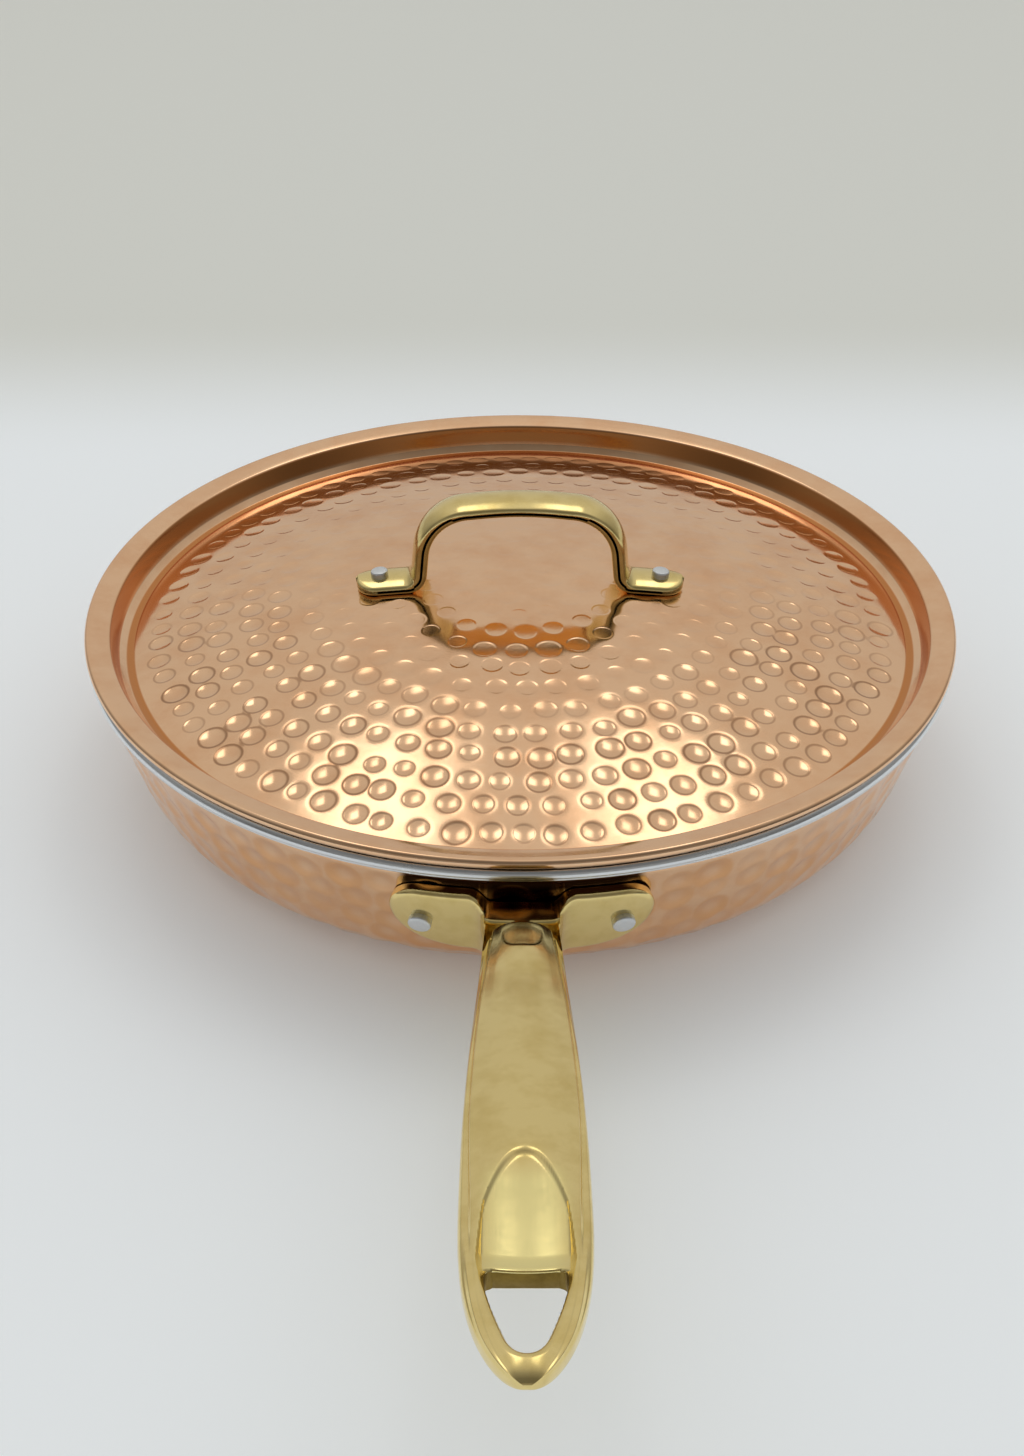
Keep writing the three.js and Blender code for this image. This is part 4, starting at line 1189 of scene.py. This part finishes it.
class MakeLongHandle(bpy.types.Operator):
    """The long handle: grip with scoop and hanging hole, neck and two ears, in one casting"""
    bl_idname = "frying_pan.long_handle"
    bl_label = "Long handle"

    def execute(self, context):
        s = pan_shape()
        g = sizes(context.scene.grip_sizes)
        root = wall_radius(s, 0, g["neck_top"])
        grip = ring_loft("long_handle", self.rings(s, g, root))
        place(grip, carve_grip(g, root, coordinates(grip)))
        cutter = self.cutter(g, root)
        apply(grip, "BOOLEAN", operation="DIFFERENCE", object=cutter, solver="MANIFOLD")
        bpy.data.objects.remove(cutter)
        ears = self.ears(s, g)
        apply(grip, "BOOLEAN", operation="UNION", object=ears, solver="MANIFOLD")
        bpy.data.objects.remove(ears)
        alone(grip)
        bpy.ops.object.shade_smooth_by_angle(angle=math.radians(40))
        dress(grip, polished_brass, "pan", "cast_brass", "pan_handle")
        self.dull_hole(grip, hole_outline(g, root))
        return {"FINISHED"}

    def rings(self, s, g, root):
        """The rings of the grip and the neck, which beside the wall bend until they lie on it."""
        bend = 9
        rings = []
        for distance in ring_places(g, 18 ** 2 + 1):
            x, z = grip_ring(g, distance)
            y = np.full(len(x), -root - distance)
            if distance < bend:
                wall = -np.sqrt((wall_radius(s, 0, 0) - z * math.tan(s["lean"]) + SEAT) ** 2 - x ** 2)
                y = wall + (-root - bend - wall) * distance / bend
            rings.append(np.column_stack([x, y, z]))
        return rings

    def dull_hole(self, grip, outline):
        """Gives the wall of the hanging hole its own finish."""
        grip.data.materials.append(finish_of(brass_as_cast))
        points = coordinates(grip)
        faces = grip.data.polygons
        middles = np.array([points[list(face.vertices)].mean(axis=0) for face in faces])
        steep, tolerance = 0.35, 0.12
        upright = np.array([abs(face.normal.z) < steep for face in faces])
        on_wall = upright & (np.abs(distance_to(outline, middles[:, :2])) < tolerance)
        for index in np.nonzero(on_wall)[0].tolist():
            faces[index].material_index = 1

    def cutter(self, g, root):
        """An upright prism of the hole's outline."""
        alone()
        outline = hole_outline(g, root)
        bpy.ops.mesh.primitive_circle_add(vertices=len(outline), fill_type="NGON")
        cutter = bpy.context.object
        half_height = 25
        low = (grip_top(g, g["hole_start"]) - half_height) * MM
        for vertex, (x, y) in zip(cutter.data.vertices, outline):
            vertex.co = (x * MM, y * MM, low)
        bpy.ops.object.mode_set(mode="EDIT")
        bpy.ops.mesh.select_all(action="SELECT")
        bpy.ops.mesh.extrude_region_move(TRANSFORM_OT_translate={"value": (0, 0, 2 * half_height * MM)})
        bpy.ops.mesh.select_all(action="SELECT")
        bpy.ops.mesh.normals_make_consistent(inside=False)
        bpy.ops.object.mode_set(mode="OBJECT")
        return cutter

    def ears(self, s, g):
        """The plate of both ears: extruded from its outline, rounded, cut into strips and bent round the
        wall, with its middle drawn out towards the neck."""
        alone()
        outline = ear_outline(g)
        bpy.ops.mesh.primitive_circle_add(vertices=len(outline), fill_type="NGON")
        plate = bpy.context.object
        for vertex, (x, z) in zip(plate.data.vertices, outline):
            vertex.co = (x * MM, 0, z * MM)
        front = SEAT - g["ear_thickness"]
        bpy.ops.object.mode_set(mode="EDIT")
        bpy.ops.mesh.select_all(action="SELECT")
        bpy.ops.mesh.extrude_region_move(TRANSFORM_OT_translate={"value": (0, front * MM, 0)})
        bpy.ops.mesh.select_all(action="SELECT")
        bpy.ops.mesh.normals_make_consistent(inside=False)
        select_where(plate, "EDGE", lambda p: p[1] < front + 0.01)
        bpy.ops.mesh.bevel(offset=g["ear_bevel"] * MM, segments=4, profile=0.5, affect="EDGES")
        cuts = math.floor(g["ear_reach"])
        for cut in range(1 - cuts, cuts):
            bpy.ops.mesh.select_all(action="SELECT")
            bpy.ops.mesh.bisect(plane_co=(cut * MM, 0, 0), plane_no=(1, 0, 0))
        bpy.ops.object.mode_set(mode="OBJECT")
        side, out, height = coordinates(plate).T
        turn = side / wall_radius(s, 0, sizes(bpy.context.scene.rivet_sizes)["pan_height"])
        overlap, back = 0.5, -0.5
        reach = g["neck_width"] / 2 + g["ear_blend"] - overlap
        into = np.clip(reach - np.abs(side), 0, g["ear_blend"])
        swell = g["ear_blend"] - np.sqrt(g["ear_blend"] ** 2 - into ** 2)
        out = np.where(out < back, out - swell, out) - SEAT
        radius = wall_radius(s, 0, 0) - height * math.tan(s["lean"]) - out / math.cos(s["lean"])
        place(plate, np.column_stack([radius * np.sin(turn), -radius * np.cos(turn), height]))
        close_up(plate)
        return plate


def ear_outline(g):
    """Half of the ears' outline and its mirror: notch, top edge, corner and sweep under the rivet."""
    top, reach, corner, notch = g["ear_top"], g["ear_reach"], g["ear_corner"], g["notch"]
    half = g["neck_width"] / 2
    low = top - g["ear_height"]
    right = [(0, top - notch), (half - 2.2, top - notch + 0.1), (half - 0.2, top - 0.72 * notch),
             (half + 1.4, top - 0.25 * notch), (half + 3.4, top - 0.02), (half + 7, top),
             (reach - corner - 2, top)]
    line = [tuple(p) for p in evenly(smooth_through(right, 12), 40)]
    line += arc((reach - corner, top - corner), corner, 90, 0, 12)
    parts = 30
    for k in range(1, parts):
        sweep = math.cos(math.pi / 2 * k / parts)
        under = math.sqrt(1 - sweep ** g["ear_full"])
        line.append((half + (reach - half) * sweep, top - corner - (g["ear_height"] - corner) * under))
    line += [(half, low), (0, low)]
    return line + [(-x, z) for x, z in line[-2:0:-1]]


def strap_line(lid, t, count):
    """The strap's middle line from foot to foot: legs that lean in, round shoulders and a crowned bar."""
    leg = (t["legs"] + t["leg"]) / 2
    end = t["span"] / 2
    shoulder = leg - t["lean"]
    lift = t["crown_radius"] * (math.hypot(1, t["crown"] / shoulder) - 1)
    top = t["top"] - t["bar"] / 2 + lift

    def foot(across):
        return float(dome_height(lid, across)) + SEAT + t["foot"] / 2

    right = [(shoulder, top - t["crown"]), (leg, foot(leg)), (end, foot(end))]
    corners = [(-x, z) for x, z in right[::-1]] + [(0, top)] + right
    radii = [t["foot_bend"], t["shoulder"], t["crown_radius"], t["shoulder"], t["foot_bend"]]
    return evenly(rounded(corners, radii, 24), count)


class MakeStrap(bpy.types.Operator):
    """The lid's handle: one strap with rounded edges, thicker at its bends, and round feet"""
    bl_idname = "frying_pan.strap"
    bl_label = "Strap"

    def execute(self, context):
        t = sizes(context.scene.strap_sizes)
        line = strap_line(lid_shape(), t, 14 ** 2 + 1)
        along = np.gradient(line, axis=0)
        along /= np.linalg.norm(along, axis=1)[:, None]
        step = np.linalg.norm(line[1] - line[0])
        least = 0.02
        rings = []
        for i, ((x, z), (dx, dz)) in enumerate(zip(line, along)):
            flat = t["foot"] if abs(x) > (t["legs"] + t["leg"]) / 2 else t["bar"]
            thick = flat + (t["leg"] - flat) * abs(dz)
            past = step * min(i, len(line) - 1 - i)
            half = t["width"] / 2
            if past < half:
                half = math.sqrt(max(least ** 2, half ** 2 - (half - past) ** 2))
            across, up = strap_section(half, thick / 2, t).T
            rings.append(np.column_stack([x - dz * up, across, z + dx * up]))
        obj = ring_loft("strap", rings)
        dress(obj, polished_brass, "lid", "cast_brass", "lid_handle")
        return {"FINISHED"}


def strap_section(half, thick, t):
    """A ring round the strap: a crowned outer face, rounded edges and a flat underside."""
    radius = min(t["rounding"], 0.9 * thick, 0.9 * half)
    quarters = [(1, 1, 0), (-1, 1, 90), (-1, -1, 180), (1, -1, 270)]
    ring = []
    for sx, sy, start in quarters:
        ring += arc((sx * (half - radius), sy * (thick - radius)), radius, start, start + 90, 6)
    ring = evenly(spaced(ring + ring[:1], t["width"] / 24), 73)[:-1]
    fall = t["face_crown"] * (ring[:, 0] / max(half, 1e-6)) ** 2 * min(1, 2 * half / t["width"])
    ring[:, 1] -= np.where(ring[:, 1] > 0, fall, 0)
    return ring


def rivet(name, radius, length, r):
    """A rivet along Z with its shank's foot at zero: a low domed head inside, a hammered stub outside."""
    head = radius * r["head_share"]
    sunk_share = 0.15
    step, shoulder_rise, crown_rise, cell = 0.2, 0.12, 0.16, 1.2
    head_line = [(head * x, r["head"] * (y - sunk_share)) for x, y in arc((0, 0), 1, -90, 0, steps=8)]
    corners = [(radius, step), (radius, length), (0.5 * radius, length + shoulder_rise),
               (0, length + crown_rise)]
    stub = rounded(corners, [r["edge"], cell])
    return turned_solid(name, [(head_line + [(head, 0)] + spaced(stub, cell), 48)])


class MakeRivets(bpy.types.Operator):
    """The four aluminium rivets"""
    bl_idname = "frying_pan.rivets"
    bl_label = "Rivets"

    def execute(self, context):
        s, lid = pan_shape(), lid_shape()
        g = sizes(context.scene.grip_sizes)
        t = sizes(context.scene.strap_sizes)
        r = sizes(context.scene.rivet_sizes)
        stack = s["copper"] + s["bond"] + s["steel"]
        length = stack + g["ear_thickness"] + r["stub"]
        for side, word in ((-1, "left"), (1, "right")):
            obj = rivet("handle_rivet_stub_" + word, r["pan_radius"], length, r)
            turn = side * r["pan_span"] / 2 / wall_radius(s, 0, r["pan_height"])
            outwards = Matrix.Rotation(math.pi / 2 - s["lean"], 4, "X")
            seat = Vector((0, -wall_radius(s, stack, r["pan_height"]), r["pan_height"]))
            obj.data.transform(Matrix.Rotation(turn, 4, "Z") @ Matrix.Translation(seat * MM) @ outwards)
            dress(obj, drawn_aluminium, "pan", "aluminium_rivet", "handle_rivet_" + word)
        stack = lid["copper"] + lid["bond"] + lid["steel"]
        length = stack + SEAT + t["foot"] + r["stub"]
        across = r["lid_span"] / 2
        fall = math.asin(across / lid["ball"])
        for side, word in ((-1, "left"), (1, "right")):
            obj = rivet("lid_rivet_stub_" + word, r["lid_radius"], length, r)
            seat = Vector((side * across, 0, float(dome_height(lid, across))))
            sink = Matrix.Translation(Vector((0, 0, -stack)) * MM)
            obj.data.transform(Matrix.Translation(seat * MM) @ Matrix.Rotation(side * fall, 4, "Y") @ sink)
            dress(obj, drawn_aluminium, "lid", "aluminium_rivet", "lid_rivet_" + word)
        return {"FINISHED"}


class MakeStage(bpy.types.Operator):
    """Floor, light and camera"""
    bl_idname = "frying_pan.stage"
    bl_label = "Stage"

    def execute(self, context):
        settings = context.scene.stage_settings
        self.floor(settings)
        self.lamp(settings)
        self.sky(settings)
        self.camera(settings)
        context.scene.view_settings.view_transform = "Standard"
        context.scene.view_settings.look = "None"
        return {"FINISHED"}

    def floor(self, settings):
        """A wide pale floor that turns a little darker behind the pan."""
        width = 12
        alone()
        bpy.ops.mesh.primitive_plane_add(size=width)
        floor = bpy.context.object
        floor.name = "floor"
        material, tree, output = new_material("matt paper")
        where = add(tree, "ShaderNodeTexCoord").outputs["Object"]
        split = add(tree, "ShaderNodeSeparateXYZ", links={0: where})
        back = soft_steps(tree, [(split.outputs["Y"], 0.2, 0.36, 0.0, 1.0)])
        shade = add(tree, "ShaderNodeMix", {"data_type": "RGBA", 6: settings.floor, 7: settings.backdrop},
                    {"Factor": back})
        # The floor glows faintly in its own colour: painted light that lifts the shade round the pan.
        shader = add(tree, "ShaderNodeBsdfPrincipled",
                     {"Roughness": 0.6, "Specular IOR Level": 0.25, "Emission Strength": 0.1},
                     {"Base Color": shade.outputs[2], "Emission Color": shade.outputs[2]})
        tree.links.new(shader.outputs[0], output.inputs[0])
        floor.data.materials.append(material)

    def lamp(self, settings):
        """A very wide lamp over the pan that lights the floor and isn't mirrored in the metal."""
        height, width = 0.9, 4.5
        alone()
        bpy.ops.object.light_add(type="AREA", location=(0, 0, height))
        lamp = bpy.context.object
        lamp.name = "floor lamp"
        lamp.data.size = width
        lamp.data.energy = settings.lamp
        lamp.data.color = settings.lamp_colour[:3]
        lamp.visible_glossy = False
        lamp.visible_camera = False

    def sky(self, settings):
        """Soft light from all round: pale walls that are dimmer at the sides and in front, a dim patch high
        in front, and two soft lamps over the far side."""
        world = bpy.data.worlds.new("light tent")
        bpy.context.scene.world = world
        world.use_nodes = True
        tree = world.node_tree
        tree.nodes.clear()
        way = add(tree, "ShaderNodeTexCoord").outputs["Generated"]
        split = add(tree, "ShaderNodeSeparateXYZ", links={0: way})
        aside = add(tree, "ShaderNodeMath", {"operation": "ABSOLUTE"}, {0: split.outputs["X"]}).outputs[0]
        back, up = split.outputs["Y"], split.outputs["Z"]
        walls = soft_steps(tree, [
            (up, 0.0, 1.0, 0.55, 0.63), (back, -0.45, 0.15, 0.5, 1.0), (aside, 0.45, 0.95, 1.0, 0.45)])
        dimming = soft_steps(tree, [
            (back, 0.32, -0.05, 0.0, 0.5), (up, 0.35, 0.55, 0.0, 1.0), (aside, 0.8, 0.4, 0.0, 1.0)])
        lamps = soft_steps(tree, [
            (aside, 0.04, 0.16, 0.05, 1.45), (aside, 0.31, 0.25, 0.0, 1.0), (up, 0.74, 0.8, 0.0, 1.0),
            (up, 0.95, 0.88, 0.0, 1.0), (back, 0.1, 0.2, 0.0, 1.0)])
        clear = add(tree, "ShaderNodeMath", {"operation": "SUBTRACT", 0: 1.0}, {1: dimming})
        total = add(tree, "ShaderNodeMath", {"operation": "MULTIPLY_ADD"},
                    {0: walls, 1: clear.outputs[0], 2: lamps})
        glow = add(tree, "ShaderNodeBackground", {"Color": settings.sky_colour},
                   {"Strength": total.outputs[0]})
        output = add(tree, "ShaderNodeOutputWorld")
        tree.links.new(glow.outputs[0], output.inputs[0])

    def camera(self, settings):
        """A camera over the long handle."""
        alone()
        bpy.ops.object.camera_add(location=(-settings.aside, -settings.distance, settings.height),
                                  rotation=(math.pi / 2 - settings.pitch, 0, 0))
        camera = bpy.context.object
        camera.data.lens = settings.lens
        camera.data.sensor_width = 36
        camera.data.shift_x = settings.shift
        camera.data.clip_start = 0.01
        bpy.context.scene.camera = camera


class PanelFryingPan(bpy.types.Panel):
    """Lists the steps and the sizes"""
    bl_idname = "VIEW3D_PT_frying_pan"
    bl_label = "Frying pan"
    bl_space_type = "VIEW_3D"
    bl_region_type = "UI"
    bl_category = "Frying pan"

    def draw(self, context):
        for operator in OPERATORS:
            self.layout.operator(operator.bl_idname)
        for name, group in GROUPS.items():
            box = self.layout.box()
            box.label(text=group.__doc__)
            for key in group.__annotations__:
                box.prop(getattr(context.scene, name), key)


GROUPS = {
    "pan_sizes": PanSizes, "lid_sizes": LidSizes, "hammer_marks": HammerMarks,
    "grip_sizes": GripSizes, "strap_sizes": StrapSizes, "rivet_sizes": RivetSizes,
    "finishes": Finishes, "stage_settings": StageSettings,
}
OPERATORS = [MakePanCopper, MakePanSteel, MakeLidCopper, MakeLidSteel, MakeLongHandle, MakeStrap,
             MakeRivets, MakeStage]


def register():
    for item in (*GROUPS.values(), *OPERATORS, PanelFryingPan):
        bpy.utils.register_class(item)
    for name, group in GROUPS.items():
        setattr(bpy.types.Scene, name, bpy.props.PointerProperty(type=group))


def unregister():
    for name in GROUPS:
        delattr(bpy.types.Scene, name)
    for item in reversed((*GROUPS.values(), *OPERATORS, PanelFryingPan)):
        bpy.utils.unregister_class(item)


def main():
    register()
    bpy.ops.frying_pan.pan_copper()
    bpy.ops.frying_pan.pan_steel()
    bpy.ops.frying_pan.lid_copper()
    bpy.ops.frying_pan.lid_steel()
    bpy.ops.frying_pan.long_handle()
    bpy.ops.frying_pan.strap()
    bpy.ops.frying_pan.rivets()
    bpy.ops.frying_pan.stage()


if __name__ == "__main__":
    main()
